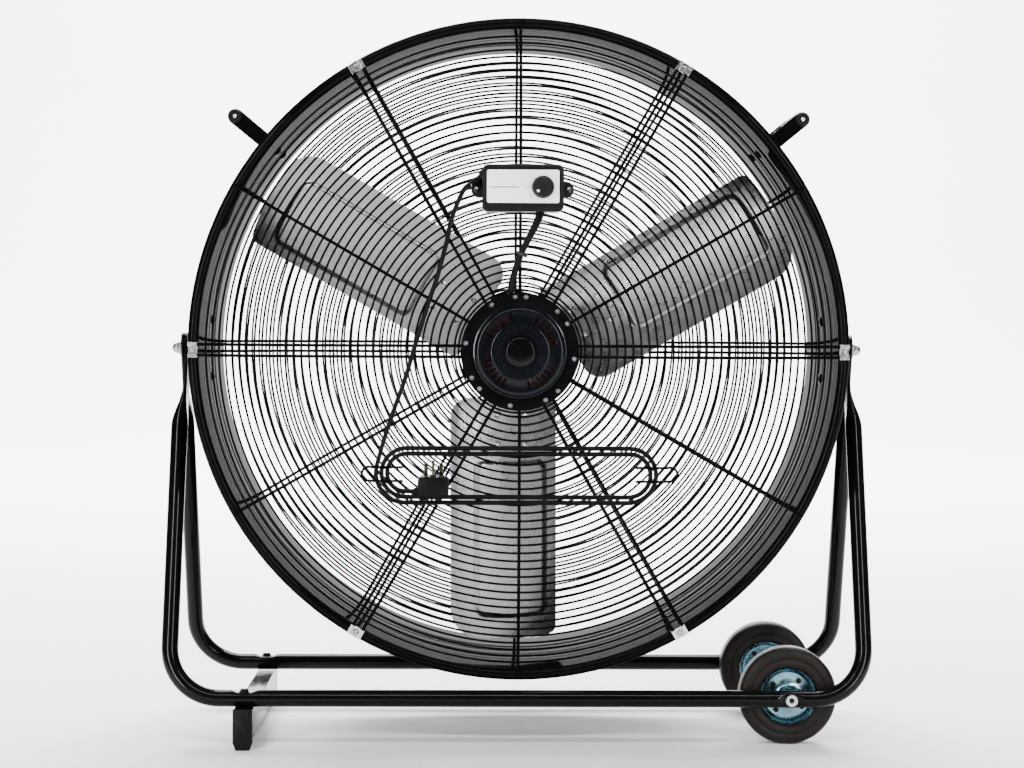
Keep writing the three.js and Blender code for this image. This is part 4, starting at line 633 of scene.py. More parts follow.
def effect(tree, name, **inputs):
    """One of the shared effects, placed in a finish with its own values."""
    placed = tree.nodes.new("ShaderNodeGroup")
    placed.node_tree = bpy.data.node_groups.get(name) or GROUP_MAKERS[name]()
    for label, value in inputs.items():
        placed.inputs[label.replace("_", " ")].default_value = value
    return placed.outputs[0]


def mixed(tree, mask, first, second):
    """The first colour where the mask is 0 and the second where it is 1. Either may be a socket."""
    mix = node(tree, "ShaderNodeMix", {"data_type": "RGBA"})
    tree.links.new(mask, mix.inputs["Factor"])
    for value, socket in ((first, mix.inputs["A"]), (second, mix.inputs["B"])):
        if isinstance(value, bpy.types.NodeSocket):
            tree.links.new(value, socket)
        else:
            socket.default_value = (*value, 1)
    return mix.outputs["Result"]


def surface(name, metallic=0.0, specular=0.5, coat=0.0, coat_roughness=0.1, ior=1.5):
    """A new finish with its shader, whose plain values are set on the shader itself."""
    material = bpy.data.materials.new(FINISH_PREFIX + name)
    material.use_nodes = True
    shader = material.node_tree.nodes["Principled BSDF"]
    shader.inputs["Metallic"].default_value = metallic
    shader.inputs["Specular IOR Level"].default_value = specular
    shader.inputs["Coat Weight"].default_value = coat
    shader.inputs["Coat Roughness"].default_value = coat_roughness
    shader.inputs["IOR"].default_value = ior
    return material, material.node_tree, shader


def relief(tree, shader, height, strength, distance=0.001):
    """Fine relief on a finish from a height."""
    bump = node(tree, "ShaderNodeBump", Strength=strength, Distance=distance)
    tree.links.new(height, bump.inputs["Height"])
    tree.links.new(bump.outputs["Normal"], shader.inputs["Normal"])


def painted(name, paint, rough, peel=0.04, peel_scale=900.0, specular=0.35, coat=0.0, wear=None, dust=None):
    """Paint or moulded plastic: faint patches in its colour and gloss, orange peel, rubbed edges and dust."""
    material, tree, shader = surface(name, specular=specular, coat=coat, coat_roughness=0.06)
    lighter = tuple(1.6 * value + 0.0002 for value in paint)
    base = mixed(tree, effect(tree, "patches", Scale=18.0), tuple(paint), lighter)
    rubbed = effect(tree, "worn edges", Amount=colours().wear if wear is None else wear, Scale=220.0)
    base = mixed(tree, rubbed, base, tuple(0.05 + 2 * value for value in paint))
    dusty = effect(tree, "settled dust", Amount=colours().dust if dust is None else dust, Scale=70.0)
    base = mixed(tree, dusty, base, (0.16, 0.155, 0.145))
    tree.links.new(base, shader.inputs["Base Color"])
    gloss = effect(tree, "patches", Scale=32.0, Low=rough[0], High=rough[1])
    tree.links.new(gloss, shader.inputs["Roughness"])
    relief(tree, shader, effect(tree, "patches", Scale=peel_scale), peel)
    return material


def metal(name, tone, rough, grain=(1.0, 1.0, 1.0), scale=120.0, scratch=0.015, spots=0.75, dust=0.06):
    """Bare or plated metal: patches in its tone, fine grain along the way it was worked, and dust."""
    material, tree, shader = surface(name, metallic=1.0)
    darker = tuple(spots * value for value in tone)
    base = mixed(tree, effect(tree, "patches", Scale=26.0), darker, tuple(tone))
    dusty = effect(tree, "settled dust", Amount=dust, Scale=80.0)
    base = mixed(tree, dusty, base, (0.25, 0.24, 0.22))
    tree.links.new(base, shader.inputs["Base Color"])
    along = {"Along_X": grain[0], "Along_Y": grain[1], "Along_Z": grain[2]}
    gloss = effect(tree, "patches", Scale=scale, Low=rough[0], High=rough[1], **along)
    tree.links.new(gloss, shader.inputs["Roughness"])
    relief(tree, shader, effect(tree, "patches", Scale=2.5 * scale, **along), scratch)
    return material


def gloss_black():
    """Gloss paint of the tubes, brackets and handles."""
    return painted("gloss_black", colours().paint, (0.12, 0.22), peel=0.03, specular=0.06, coat=0.12)


def drum_black():
    """The drum's paint, duller than the tubes', so that its wall stays dark where it is seen edge on."""
    return painted("drum_black", colours().paint, (0.24, 0.36), peel=0.05, specular=0.0, coat=0.07)


def wire_black():
    """Dip coat of the guards and hooks."""
    return painted("wire_black", colours().wire, (0.16, 0.30), peel=0.05, specular=0.02, wear=0.01)


def satin_black():
    """Moulded plastic of the control box, grips and foot caps."""
    return painted("satin_black", colours().plastic, (0.3, 0.42), peel=0.12, peel_scale=1600.0, specular=0.08)


def motor_black():
    """Dark paint over the motor's castings."""
    return painted(
        "motor_black", colours().motor, (0.14, 0.26), peel=0.1, peel_scale=500.0, specular=0.08, coat=0.12
    )


def zinc():
    """Bright plate of clips and screws."""
    return metal("zinc", colours().zinc, (0.16, 0.34), scale=260.0, spots=0.8)


def blue_zinc():
    """Blue passivated plate of the wheel rims."""
    return metal("blue_zinc", colours().rim, (0.14, 0.32), scale=160.0, spots=0.7, scratch=0.01)


def bare_steel():
    """Machined steel of shafts, nuts and bushes."""
    return metal("bare_steel", (0.36, 0.37, 0.39), (0.24, 0.42), scale=200.0, spots=0.6)


def sheet_aluminium():
    """Rolled sheet of the blades."""
    return metal(
        "sheet_aluminium", colours().blade, (0.24, 0.34), scale=70.0, scratch=0.008, spots=0.85, dust=0.03
    )


def copper():
    """Turns of varnished wire, bunched into one coil."""
    material, tree, shader = surface("copper", metallic=0.85, coat=0.6, coat_roughness=0.12)
    turns = node(
        tree, "ShaderNodeTexWave", {"wave_type": "RINGS", "rings_direction": "Y"},
        Scale=330.0, Distortion=2.0, Detail=2.0, Detail_Scale=3.0,
    )
    centred = node(tree, "ShaderNodeMapping")
    centred.inputs["Location"].default_value = (0, 0, -PIVOT_HEIGHT * TO_METRES)
    base = mixed(tree, turns.outputs["Fac"], (0.16, 0.03, 0.012), tuple(colours().copper))
    gloss = effect(tree, "patches", Scale=90.0, Low=0.2, High=0.45)
    link(tree, (object_place(tree), centred.inputs["Vector"]), (centred.outputs[0], turns.inputs["Vector"]),
         (base, shader.inputs["Base Color"]), (gloss, shader.inputs["Roughness"]))
    relief(tree, shader, turns.outputs["Fac"], 0.5)
    return material


def tyre_rubber():
    """Moulded rubber, a little browned, with dust worked into it."""
    return painted(
        "tyre_rubber", (0.0075, 0.0062, 0.0054), (0.34, 0.5), peel=0.2, peel_scale=700.0, specular=0.1,
        wear=0.03, dust=0.03,
    )


def cord_black():
    """Sheath of the cord, plug and lead."""
    return painted(
        "cord_black", (0.0012, 0.0012, 0.0013), (0.3, 0.44), peel=0.1, peel_scale=1200.0, specular=0.08,
        wear=0.03,
    )


def silver_plate():
    """Thin pale plate with a satin face."""
    material, tree, shader = surface("silver_plate", specular=0.6)
    base = mixed(tree, effect(tree, "patches", Scale=30.0), (0.86, 0.87, 0.89), (0.94, 0.945, 0.95))
    grain = {"Along_X": 0.08, "Along_Y": 1.0, "Along_Z": 1.0}
    gloss = effect(tree, "patches", Scale=500.0, Low=0.3, High=0.46, **grain)
    link(tree, (base, shader.inputs["Base Color"]), (gloss, shader.inputs["Roughness"]))
    relief(tree, shader, effect(tree, "patches", Scale=900.0, **grain), 0.05)
    return material


def capacitor_grey():
    """Moulded can of the capacitor."""
    return painted("capacitor_grey", (0.55, 0.55, 0.53), (0.4, 0.55), peel=0.08, wear=0.0)


def tie_grey():
    """Nylon of the tie round the lead."""
    return painted("tie_grey", (0.014, 0.0145, 0.0155), (0.35, 0.5), peel=0.08, specular=0.1, wear=0.0)


def knob_grey():
    """Moulded plastic of the knob."""
    return painted(
        "knob_grey", (0.006, 0.006, 0.0065), (0.3, 0.42), peel=0.1, peel_scale=1400.0, specular=0.06, wear=0.1
    )


def print_grey():
    """Printing on the dial."""
    return painted("print_grey", (0.10, 0.10, 0.105), (0.5, 0.6), peel=0.02, wear=0.0, dust=0.0)


def pin_brass():
    """Tarnished pins of the plug."""
    return metal("pin_brass", (0.07, 0.06, 0.045), (0.22, 0.36), scale=300.0, dust=0.05)


FINISH_MAKERS = {
    maker.__name__: maker
    for maker in (
        gloss_black, drum_black, wire_black, satin_black, motor_black, zinc, blue_zinc, bare_steel,
        sheet_aluminium, copper, tyre_rubber, cord_black, silver_plate, capacitor_grey, tie_grey, knob_grey,
        print_grey, pin_brass,
    )
}


def finish_named(name):
    """The finish of this name, made when it is first asked for."""
    return bpy.data.materials.get(FINISH_PREFIX + name) or FINISH_MAKERS[name]()


# ---- camera and stage --------------------------------------------------------------------------------
CAMERA_AT = (-0.0561, -3.06345, 0.6467)
CAMERA_TURNS = (math.radians(2.09), math.radians(0.887), math.radians(0.256))  # down, to the right, roll
CAMERA_LENS = 70.2


def make_camera():
    """The camera at the photograph's viewpoint, facing the air inlet."""
    down, right, roll = CAMERA_TURNS
    level = Vector((math.sin(right), math.cos(right), 0))
    ahead = level * math.cos(down) + Vector((0, 0, -math.sin(down)))
    beside = Vector((math.cos(right), -math.sin(right), 0))
    over = level * math.sin(down) + Vector((0, 0, math.cos(down)))
    x_axis = beside * math.cos(roll) + over * math.sin(roll)
    y_axis = over * math.cos(roll) - beside * math.sin(roll)
    data = bpy.data.cameras.new("camera")
    data.lens = CAMERA_LENS
    data.sensor_width = 36
    data.clip_end = 100
    camera = linked_object("camera", data)
    turn = Matrix((x_axis, y_axis, -ahead)).transposed().to_4x4()
    camera.matrix_world = Matrix.Translation(CAMERA_AT) @ turn
    bpy.context.scene.camera = camera


def area_light(name, at, toward, size, power):
    """A rectangular light that looks toward a place. Places and sizes are in metres."""
    data = bpy.data.lights.new(name, "AREA")
    data.shape = "RECTANGLE"
    data.size, data.size_y = size
    data.energy = power
    turn = (Vector(toward) - Vector(at)).to_track_quat("-Z", "Y").to_matrix().to_4x4()
    linked_object(name, data).matrix_world = Matrix.Translation(at) @ turn


def floor_finish():
    """Matt pale sweep of the studio."""
    material, tree, shader = surface("studio_floor", specular=0.2)
    base = mixed(tree, effect(tree, "patches", Scale=0.8), (0.86, 0.86, 0.86), (0.9, 0.9, 0.9))
    link(tree, (base, shader.inputs["Base Color"]))
    shader.inputs["Roughness"].default_value = 0.8
    return material


# place, what it looks at, width and height, watts
LIGHTS = {
    "backdrop_light": ((0, 4.0, 6.5), (0, 10.5, 2.0), (8.0, 2.5), 4600),
    "floor_light": ((0, 2.6, 5.5), (0, 2.8, 0), (6.0, 3.4), 1500),
    "over_light": ((0, -2.4, 3.2), (0, 0, 0.4), (3.4, 0.16), 80),
    "left_light": ((-2.0, -3.1, 1.3), (0, 0, 0.6), (0.22, 2.3), 130),
    "right_light": ((2.0, -3.1, 1.3), (0, 0, 0.6), (0.22, 2.3), 100),
}
WORLD_STRENGTH = 0.05
FLOOR_FRONT_Y = -14
WALL_BEND = (7, 4)  # where the floor starts to rise, and the radius of the bend
WALL_TOP = 12
FLOOR_HALF_WIDTH = 16


def make_stage():
    """A pale floor that curves up into a back wall, soft lights and a dim room."""
    bm = bmesh.new()
    start, radius = WALL_BEND
    row = [(FLOOR_FRONT_Y, 0), (start, 0)]
    row += [(start + radius * math.sin(a), radius - radius * math.cos(a))
            for a in (math.radians(i * 9) for i in range(1, 11))]
    row.append((start + radius, WALL_TOP))
    verts = [bm.verts.new((-FLOOR_HALF_WIDTH, y, z)) for y, z in row]
    edges = [bm.edges.new(pair) for pair in zip(verts, verts[1:])]
    moved = bmesh.ops.extrude_edge_only(bm, edges=edges)["geom"]
    bmesh.ops.translate(bm, vec=(2 * FLOOR_HALF_WIDTH, 0, 0), verts=verts_of(moved))
    bmesh.ops.recalc_face_normals(bm, faces=bm.faces)
    mesh = bpy.data.meshes.new("studio_floor")
    bm.to_mesh(mesh)
    bm.free()
    mesh.polygons.foreach_set("use_smooth", [True] * len(mesh.polygons))
    mesh.materials.append(floor_finish())
    linked_object("studio_floor", mesh)
    for name, light in LIGHTS.items():
        area_light(name, *light)
    world = bpy.data.worlds.new("studio")
    world.use_nodes = True
    background = world.node_tree.nodes["Background"]
    background.inputs["Color"].default_value = (1, 1, 1, 1)
    background.inputs["Strength"].default_value = WORLD_STRENGTH
    bpy.context.scene.world = world


# ---- cord and plug -----------------------------------------------------------------------------------
def eased(points, steps):
    """A smooth path through a row of points, with so many steps in each stretch."""
    points = [Vector(point) for point in points]
    row = [2 * points[0] - points[1], *points, 2 * points[-1] - points[-2]]
    path = []
    for a, b, c, d in zip(row, row[1:], row[2:], row[3:]):
        times = [0.0]
        for start, end in ((a, b), (b, c), (c, d)):
            times.append(times[-1] + max((end - start).length, 1e-6) ** 0.5)
        t0, t1, t2, t3 = times
        for i in range(steps):
            t = blend(t1, t2, i / steps)
            ab = a.lerp(b, (t - t0) / (t1 - t0))
            bc = b.lerp(c, (t - t1) / (t2 - t1))
            cd = c.lerp(d, (t - t2) / (t3 - t2))
            before = ab.lerp(bc, (t - t0) / (t2 - t0))
            after = bc.lerp(cd, (t - t1) / (t3 - t1))
            path.append(before.lerp(after, (t - t1) / (t2 - t1)))
    return [*path, points[-1]]


def relief_direction():
    """The way the strain relief points."""
    return Vector((-math.cos(RELIEF_DROOP), 0, -math.sin(RELIEF_DROOP)))


def hank_point(degrees):
    """A point of the hank, a flat spiral of long loops with round ends."""
    angle = math.radians(degrees)
    radius = HANK_RADIUS - HANK_PITCH * (degrees - HANK_START) / 360
    centre = HANK_CENTRES[0 if math.cos(angle) < 0 else 1]
    return Vector((centre + radius * math.cos(angle), CORD_Y, HANK_HEIGHT + radius * math.sin(angle)))


def hank_path():
    """The hank from its lead-in to the plug, 36 points to a turn."""
    points = []
    for i in range((HANK_END - HANK_START) // 10 + 1):
        degrees = min(HANK_START + 10 * i, HANK_END)
        if i and degrees % 180 == 95:
            points += [hank_point(degrees - 5.01), hank_point(degrees - 4.99)]
        points.append(hank_point(degrees))
    heading = Vector((-math.sin(math.radians(HANK_START)), 0, math.cos(math.radians(HANK_START))))
    begin = points[0] - heading * HANK_LEAD_IN
    tail = points[-1].copy()
    tail.x = PLUG_X[0] - 0.3
    return [begin, begin + heading * 7, *points, tail], heading


def make_cord():
    """The mains cord from its strain relief down the guard and round the hooks to its plug."""
    hank, heading = hank_path()
    start = Vector(CORD_EXIT) + relief_direction() * (RELIEF[2] + CLEARANCE)
    route = [Vector((x, CORD_Y - (1.5 if i == 0 else 0), z)) for i, (x, z) in enumerate(CORD_ROUTE)]
    lead_in = [start, start + relief_direction() * 9, *route, hank[0] - heading * 9.3, hank[0]]
    path = eased(lead_in, 5)[:-1] + hank
    plug = make_plug(hank[-1].z)
    shape = bar(path, mm(sizes().cord_radius), 14)
    cord = finish(shape, "mains_cord", "drum", "cord_black", ("power_cord", "cord_hank"), angle=80)
    make_relief()


def make_relief():
    """The ribbed, tapered strain relief where the cord leaves the control box."""
    thick, thin, reach = RELIEF
    rows = [(0, 0), (thick, 0), (thick, 3), (thick - 0.8, 4)]
    for i in range(5):
        at, radius = 5 + 3 * i, blend(thick - 0.6, thin + 0.3, i / 4)
        rows += [(radius, at), (radius, at + 1.7), (radius - 0.9, at + 1.9), (radius - 0.9, at + 2.8)]
    rows += [(thin, reach - 0.6), (thin - 0.5, reach), (0, reach)]
    place = Matrix.Translation(CORD_EXIT) @ along(relief_direction())
    finish(turned(rows, 24), "strain_relief", "drum", "cord_black", ("cord_gland",), place=place)


def make_plug(cord_height):
    """The moulded plug, with its cord sleeve and its three pins up, as stowed on the guard."""
    bottom = cord_height - 4.1
    top = bottom + PLUG_HEIGHT
    back = -GUARD_FACE_Y - CLEARANCE
    left, right = PLUG_X
    middle = (left + right) / 2
    outline = [(left, bottom), (right, bottom), (right, top - 4), (right - 4, top)]
    outline += [(left + 4, top), (left, top - 4)]
    body = prism(outline, back - PLUG_DEPTH, back, 1.6, 3)
    ridge = (1.2, 2.6, PLUG_HEIGHT - 9)
    for i in range(4):
        for x in (left + 0.2, right - 0.2):
            add(body, block(ridge, (x, back - 12 - 6.5 * i, (bottom + top) / 2 - 1), 0.5))
    sleeve = turned([(0, 0), (5.2, 0), (6.2, 9), (0, 9)], 20)
    add(body, sleeve, Matrix.Translation((0, CORD_Y, cord_height)) @ sideways(left - 6.5))
    add(body, block((9, 9, 3.2), (middle, back - 24, top + 0.6), 0.6))
    plug = finish(body, "plug_body", "drum", "cord_black", ("mains_plug",))
    pins = bmesh.new()
    line_y = back - 11
    for hand in (-1, 1):
        add(pins, block((6, 4, 18), (middle + 11 * hand, line_y, top + 9), 0.5))
    add(pins, block((4, 8, 23), (middle, line_y - 22, top + 11.5), 0.6))
    return [plug, finish(pins, "plug_pins", "drum", "pin_brass", ("mains_plug",), slot="cord_black")]


def hook_leg(free, turn, hand, side):
    """One leg of a hook, from its free end over the cord to the bend where it meets the guard."""
    over = CORD_Y - mm(sizes().cord_radius) - CLEARANCE - HOOK_WIRE
    seat = -GUARD_FACE_Y - CLEARANCE - HOOK_WIRE
    z = side * HOOK_HALF_GAP
    tip = [(free + 1.5 * hand, over - 3.4, z), (free, over - 1.4, z), (free + 1.5 * hand, over, z)]
    return [*tip, (turn - 7 * hand, over, z), (turn - 4 * hand, over + 2, z), (turn - hand, seat, z)]


def make_hooks():
    """Two hairpins of wire on the guard, whose legs hold the hank."""
    seat = -GUARD_FACE_Y - CLEARANCE - HOOK_WIRE
    bend = [math.radians(-75 + 15 * i) for i in range(11)]
    for name, (free, outer) in zip(("left", "right"), HOOK_ENDS):
        hand = math.copysign(1, outer)
        turn = outer - hand * HOOK_HALF_GAP
        curl = [(turn + hand * HOOK_HALF_GAP * math.cos(a), seat, HOOK_HALF_GAP * math.sin(a)) for a in bend]
        near, far = hook_leg(free, turn, hand, -1), hook_leg(free, turn, hand, 1)
        route = [(x, y, z + HANK_HEIGHT) for x, y, z in (*near, *curl, *reversed(far))]
        hook = bar(eased(route, 3), HOOK_WIRE, 10)
        finish(hook, f"{name}_hook", "drum", "wire_black", (f"{name}_cord_hook",), angle=70)


# ---- drum and guards ---------------------------------------------------------------------------------
def make_drum():
    """The drum's wall with its two rolled rims."""
    radius, half = mm(sizes().drum_radius), mm(sizes().drum_depth) / 2
    centre = (radius - RIM_BEAD, half - RIM_BEAD)
    inside = radius - 2 * RIM_BEAD
    bead = rounding(centre, RIM_BEAD, 180, -120, 20)
    fold = [(inside + DRUM_WALL, centre[1] - 1.35 * RIM_BEAD)]
    swage = [(inside + DRUM_WALL, 0.62 * half)]
    drum = turned(both_ways([*bead, *fold, *swage]), 160)
    add(drum, block((2.2, 2 * half - 44, 9), (inside + DRUM_WALL + 0.2, 0, 0), 0.6),
        Matrix.Rotation(math.radians(78), 4, "Y"))
    finish(drum, "drum", "drum", "drum_black", ("drum_shell",), angle=40, slot="gloss_black")


def guard_height(radius):
    """How far the guard's middle line stands from the drum's middle, at a radius."""
    if radius <= GUARD_FLAT:
        return GUARD_LINE_Y
    angle = math.asin(min(radius, GUARD_EDGE) / GUARD_DOME - GUARD_FLAT / GUARD_DOME)
    return GUARD_LINE_Y - GUARD_DOME * (1 - math.cos(angle))


def ring_row():
    """(radius, height) of each ring of a guard, at even steps along its profile."""
    flat = GUARD_FLAT - FIRST_RING
    arc = GUARD_DOME * math.asin((GUARD_EDGE - GUARD_FLAT) / GUARD_DOME)
    count = round((flat + arc) / mm(sizes().ring_pitch))
    row = []
    for i in range(count + 1):
        run = (flat + arc) * i / count
        on_dome = GUARD_FLAT + GUARD_DOME * math.sin((run - flat) / GUARD_DOME)
        radius = FIRST_RING + run if run <= flat else on_dome
        row.append((radius, guard_height(radius) + 0.4))
    return row


def spoke_path(start):
    """The line of one spoke, from near the middle, over the dome and onto the drum's rim."""
    radii = [start, 180, GUARD_FLAT] + [GUARD_FLAT + 18.5 * i for i in range(1, 10)]
    path = [(radius, guard_height(radius) - 3.1, 0) for radius in radii]
    ends = [(466, -1.4), (473, 0.1), (SPOKE_END, 0.2)]
    return path + [(radius, GUARD_EDGE_Y + lift, 0) for radius, lift in ends]


def guard(start, first_ring):
    """Rings and spokes: the spokes stand in pairs every 60 degrees, with a single one between two pairs."""
    wire = mm(sizes().ring_wire)
    bm = rings([first_ring, *ring_row()], wire, 144)
    spoke = bar(spoke_path(start), mm(sizes().spoke_wire), 10)
    places = []
    for angle in sixths():
        for aside in (-SPOKE_PAIR_OFFSET, SPOKE_PAIR_OFFSET):
            places.append(Matrix.Rotation(-angle, 4, "Y") @ Matrix.Translation((0, 0, aside)))
        places.append(Matrix.Rotation(-angle - math.pi / 6, 4, "Y"))
    return add(bm, spoke, *places)


def make_guards():
    """The rear guard round the motor and the front guard with its dished centre plate."""
    ring = (89, GUARD_LINE_Y + 0.4)
    rear = guard(SPOKE_START, ring)
    finish(rear, "rear_grille", "drum", "wire_black", ("rear_guard",), angle=70, place=half_turn(-1, "X"))
    front = guard(60, ring)
    outside = [(0, 200.9), (30, 200.9), (38, 202.2), (70, 202.2), (79, 200.8), (86, 200.8)]
    inside = [(86, 198.8), (78, 198.8), (70, 200.4), (38, 200.4), (30, 199.2), (0, 199.2)]
    plate = turned([*outside, *rounding((90, 198.9), 1.9, 90, -60, 6), *inside], 96, closed=False)
    finish(add(front, plate), "front_grille", "drum", "wire_black", ("front_guard",), angle=50)


def clip():
    """A saddle over the ends of a pair of spokes, with its screw. Made along Y, with +Z outward."""
    half, foot, plate, base, top = 11.25, 4.8, 2, 150.3, 155.0
    under = [(-half, top - 3), (-half + 1.2, top - 3), (-half + 1.6, top), (-foot, top), (-foot + 0.8, base)]
    over = [(-foot - 0.4, base + plate), (-foot - 1.4, top + plate), (-half, top + plate)]
    outline = [*under, *((-x, z) for x, z in reversed(under)), *((-x, z) for x, z in reversed(over)), *over]
    bm = prism(outline, -7, 7, 0.35, 1)
    add(bm, screw(4.2, 2.6), Matrix.Translation((0, 0, base + plate)) @ Matrix.Rotation(math.pi / 2, 4, "X"))
    return bm


def make_clips():
    """Six clips round each rim, over the pairs of spokes."""
    for side, label in ((-1, "rear"), (1, "front")):
        for i in range(6):
            angle = math.pi / 3 - i * math.pi / 3
            solids = (nearest_clip(angle),) if side < 0 else ()
            place = facing(angle, side, sum(CLIP_REACH) / 2)
            finish(clip(), f"{label}_clip_{i + 1}_plate", "drum", "zinc", solids, place=place)


def nearest_clip(angle):
    """The solid of the rear clip at this angle round the rim."""
    way = Vector((math.cos(angle), 0, math.sin(angle)))

    def toward(name):
        """How nearly the clip lies that way from the middle."""
        low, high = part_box(name)
        middle = (Vector(low) + Vector(high)) / 2 - Vector(DRUM_AT) * TO_METRES
        middle.y = 0
        return middle.normalized().dot(way)

    return max((f"rear_clip_{i + 1}" for i in range(6)), key=toward)


def make_brackets():
    """The two hat sections on the drum that take the tilt bolts, with the bolts that hold them."""
    face = BRACKET_FACE_X
    outer = [(475.3, 62), (477.8, 31.5), (face - 3, 25), (face, 21)]
    inner = [(face - BRACKET_PLATE, 19.5), (face - 5.5, 22), (474.4, 28.6), (473.6, 31), (470.9, 62)]
    outline = both_ways(outer) + [(x, -z) for x, z in reversed(inner)] + inner
    for hand, name in ((-1, "left"), (1, "right")):
        bm = prism(outline, -BRACKET_HALF_WIDTH, BRACKET_HALF_WIDTH, 0.5, 2)
        for z in (-BRACKET_BOLT_AT, BRACKET_BOLT_AT):
            tilt = Matrix.Rotation(-math.asin(z / DRUM_OUTSIDE_X), 4, "Y")
            add(bm, hexagon_head(6.5, 5), tilt @ sideways(478.2))
            add(bm, screw(7.5, 3.2), tilt @ sideways(BOLT_INSIDE_X, -1))
        finish(bm, f"{name}_bracket", "drum", "gloss_black", (f"{name}_pivot_bracket",),
               place=half_turn(hand))


def handle_strap():
    """A handle's bent strap, its feet on the drum and its legs' ends round. Made with its legs along Z."""
    half_width, thickness = HANDLE_STRAP
    foot, span = DRUM_OUTSIDE_X, HANDLE_HALF_SPAN
    tip = HANDLE_GRIP_AT + half_width
    outer = [(span - 7, foot), (span - 3, foot + 1), (span - 1, foot + 3), (span, foot + 7), (span, tip)]
    inner = [(span - thickness, tip), (span - thickness, foot + 7)]
    inner += [(span - 5.2, foot + thickness + 1.4), (span - 8, foot + thickness)]
    half = outer + inner
    strap = prism(half + [(-across, up) for across, up in reversed(half)], -half_width, half_width, 0)
    ends = []
    for edge in strap.edges:
        a, b = (v.co for v in edge.verts)
        if abs((a - b).x) > thickness - 0.5 and min(a.z, b.z) > tip - 0.1 and abs(a.y - b.y) < 0.01:
            ends.append(edge)
    bevel(strap, ends, half_width - 0.2, 8)
    bevel(strap, sharp_edges(strap, 1.2), 0.4, 1)
    return strap


def make_handles():
    """Two bent straps on the drum, each with a grip between its legs."""
    foot = DRUM_OUTSIDE_X + HANDLE_STRAP[1]
    upright = Matrix(((0, 0, 1, 0), (1, 0, 0, 0), (0, 1, 0, 0), (0, 0, 0, 1)))
    for hand, name in ((-1, "left"), (1, "right")):
        angle = HANDLE_ANGLE if hand > 0 else math.pi - HANDLE_ANGLE
        turn = Matrix.Rotation(-angle, 4, "Y")
        bm = add(bmesh.new(), handle_strap(), turn @ upright)
        for y in (-HANDLE_BOLT_AT, HANDLE_BOLT_AT):
            aside = turn @ Matrix.Translation((0, y, 0))
            add(bm, hexagon_head(6, 4.5), aside @ sideways(foot))
            add(bm, screw(7, 3), aside @ sideways(BOLT_INSIDE_X, -1))
        finish(bm, f"{name}_handle", "drum", "gloss_black", (f"{name}_handle_bracket",))
        make_grip(name, turn)


def make_grip(name, turn):
    """The grip between a handle's legs, with its end buttons and their screws."""
    inside = HANDLE_HALF_SPAN - HANDLE_STRAP[1] - CLEARANCE
    outside = HANDLE_HALF_SPAN + CLEARANCE
    half = [(GRIP_RADIUS, 3)]
    for i in range(14):
        at = 6 + 4.2 * i
        half += [(GRIP_RADIUS, at), (GRIP_RADIUS - 0.7, at + 0.5), (GRIP_RADIUS - 0.7, at + 1.3)]
        half.append((GRIP_RADIUS, at + 1.8))
    half += [(GRIP_RADIUS, inside - 3), (GRIP_RADIUS - 1, inside - 0.6)]
    half += [(GRIP_RADIUS - 2, inside), (4, inside)]
    half += [(4, outside), (11, outside), (11, outside + 3), (9.5, outside + 5), (7, outside + 5)]
    half += [(6.2, outside + 3.4), (0, outside + 3.4)]
    both = [(radius, -y) for radius, y in reversed(half)] + half
    at = turn @ Matrix.Translation((HANDLE_GRIP_AT, 0, 0))
    finish(turned(both, 40), f"{name}_grip", "drum", "satin_black", (f"{name}_handle_grip",), place=at)
    bolts = bmesh.new()
    for side in (-1, 1):
        add(bolts, screw(3.4, 1.4), at @ half_turn(side, "X") @ Matrix.Translation((0, outside + 3.5, 0)))
    finish(bolts, f"{name}_grip_screws", "drum", "zinc", (f"{name}_handle_grip",))


# ---- motor -------------------------------------------------------------------------------------------
def make_motor():
    """The motor's two bells, its cap and the plate it hangs from."""
    make_rear_bell()
    make_front_bell()
    cap = rounding((CAP_RADIUS - 5, 6.5), 5, 0, 80, 6)
    profile = [(0, 0.3), (CAP_RADIUS, 0.3), (CAP_RADIUS, 3), *cap, (12, 11.8), (6, 12.0), (0, 12.0)]
    place = toward_inlet((0, MOTOR_REAR_Y - 5, 0))
    finish(turned(profile, 64, closed=False), "motor_cap", "drum", "gloss_black", ("bearing_cap",), angle=50,
           place=place)
    make_mount_plate()


def make_rear_bell():
    """The bell that faces the air inlet, with its boss, its seam, its flange and four groups of vents."""
    r, face = MOTOR_RADIUS, MOTOR_REAR_Y
    seat = PLATE_SEAT_Y
    rear = [(20.3, face - 5), (BOSS_RADIUS - 1, face - 5), (BOSS_RADIUS, face - 4), (BOSS_RADIUS, face)]
    rear += [(BOSS_RADIUS + 1.5, face + 0.6), (r - 9, face + 0.2)]
    rear += [(x, -y) for x, y in rounding((r - 7, -(face + 7)), 7, 90, 0, 8)]
    rear += [(r, -204.5), (r + 1.6, -204), (r + 1.6, -202.6), (r, -202.1), (r, seat), (82, seat)]
    rear += [(82, seat + 4), (r, seat + 4), (r, MOTOR_SPLIT_Y - 0.3), (63, MOTOR_SPLIT_Y - 0.3)]
    rear += [(63, face + 8), (59, face + 4)]
    rear += [(24.3, face + 4), (24.3, face + 10), (20.3, face + 10)]
    places = []
    for quarter in range(4):
        for i in range(VENTS_PER_GROUP):
            angle = VENT_TURN + quarter * math.pi / 2 + (i - (VENTS_PER_GROUP - 1) / 2) * VENT_STEP
            places.append(Matrix.Rotation(-angle, 4, "Y"))
    slots = add(bmesh.new(), case(14, 3.2, face + 12, face - 8, (VENT_AT, 0), 1.55, 0.05, 1), *places)
    bell = cut(turned(rear, 96), slots)
    finish(bell, "motor_rear", "drum", "motor_black", ("motor_rear_bell",), angle=30)


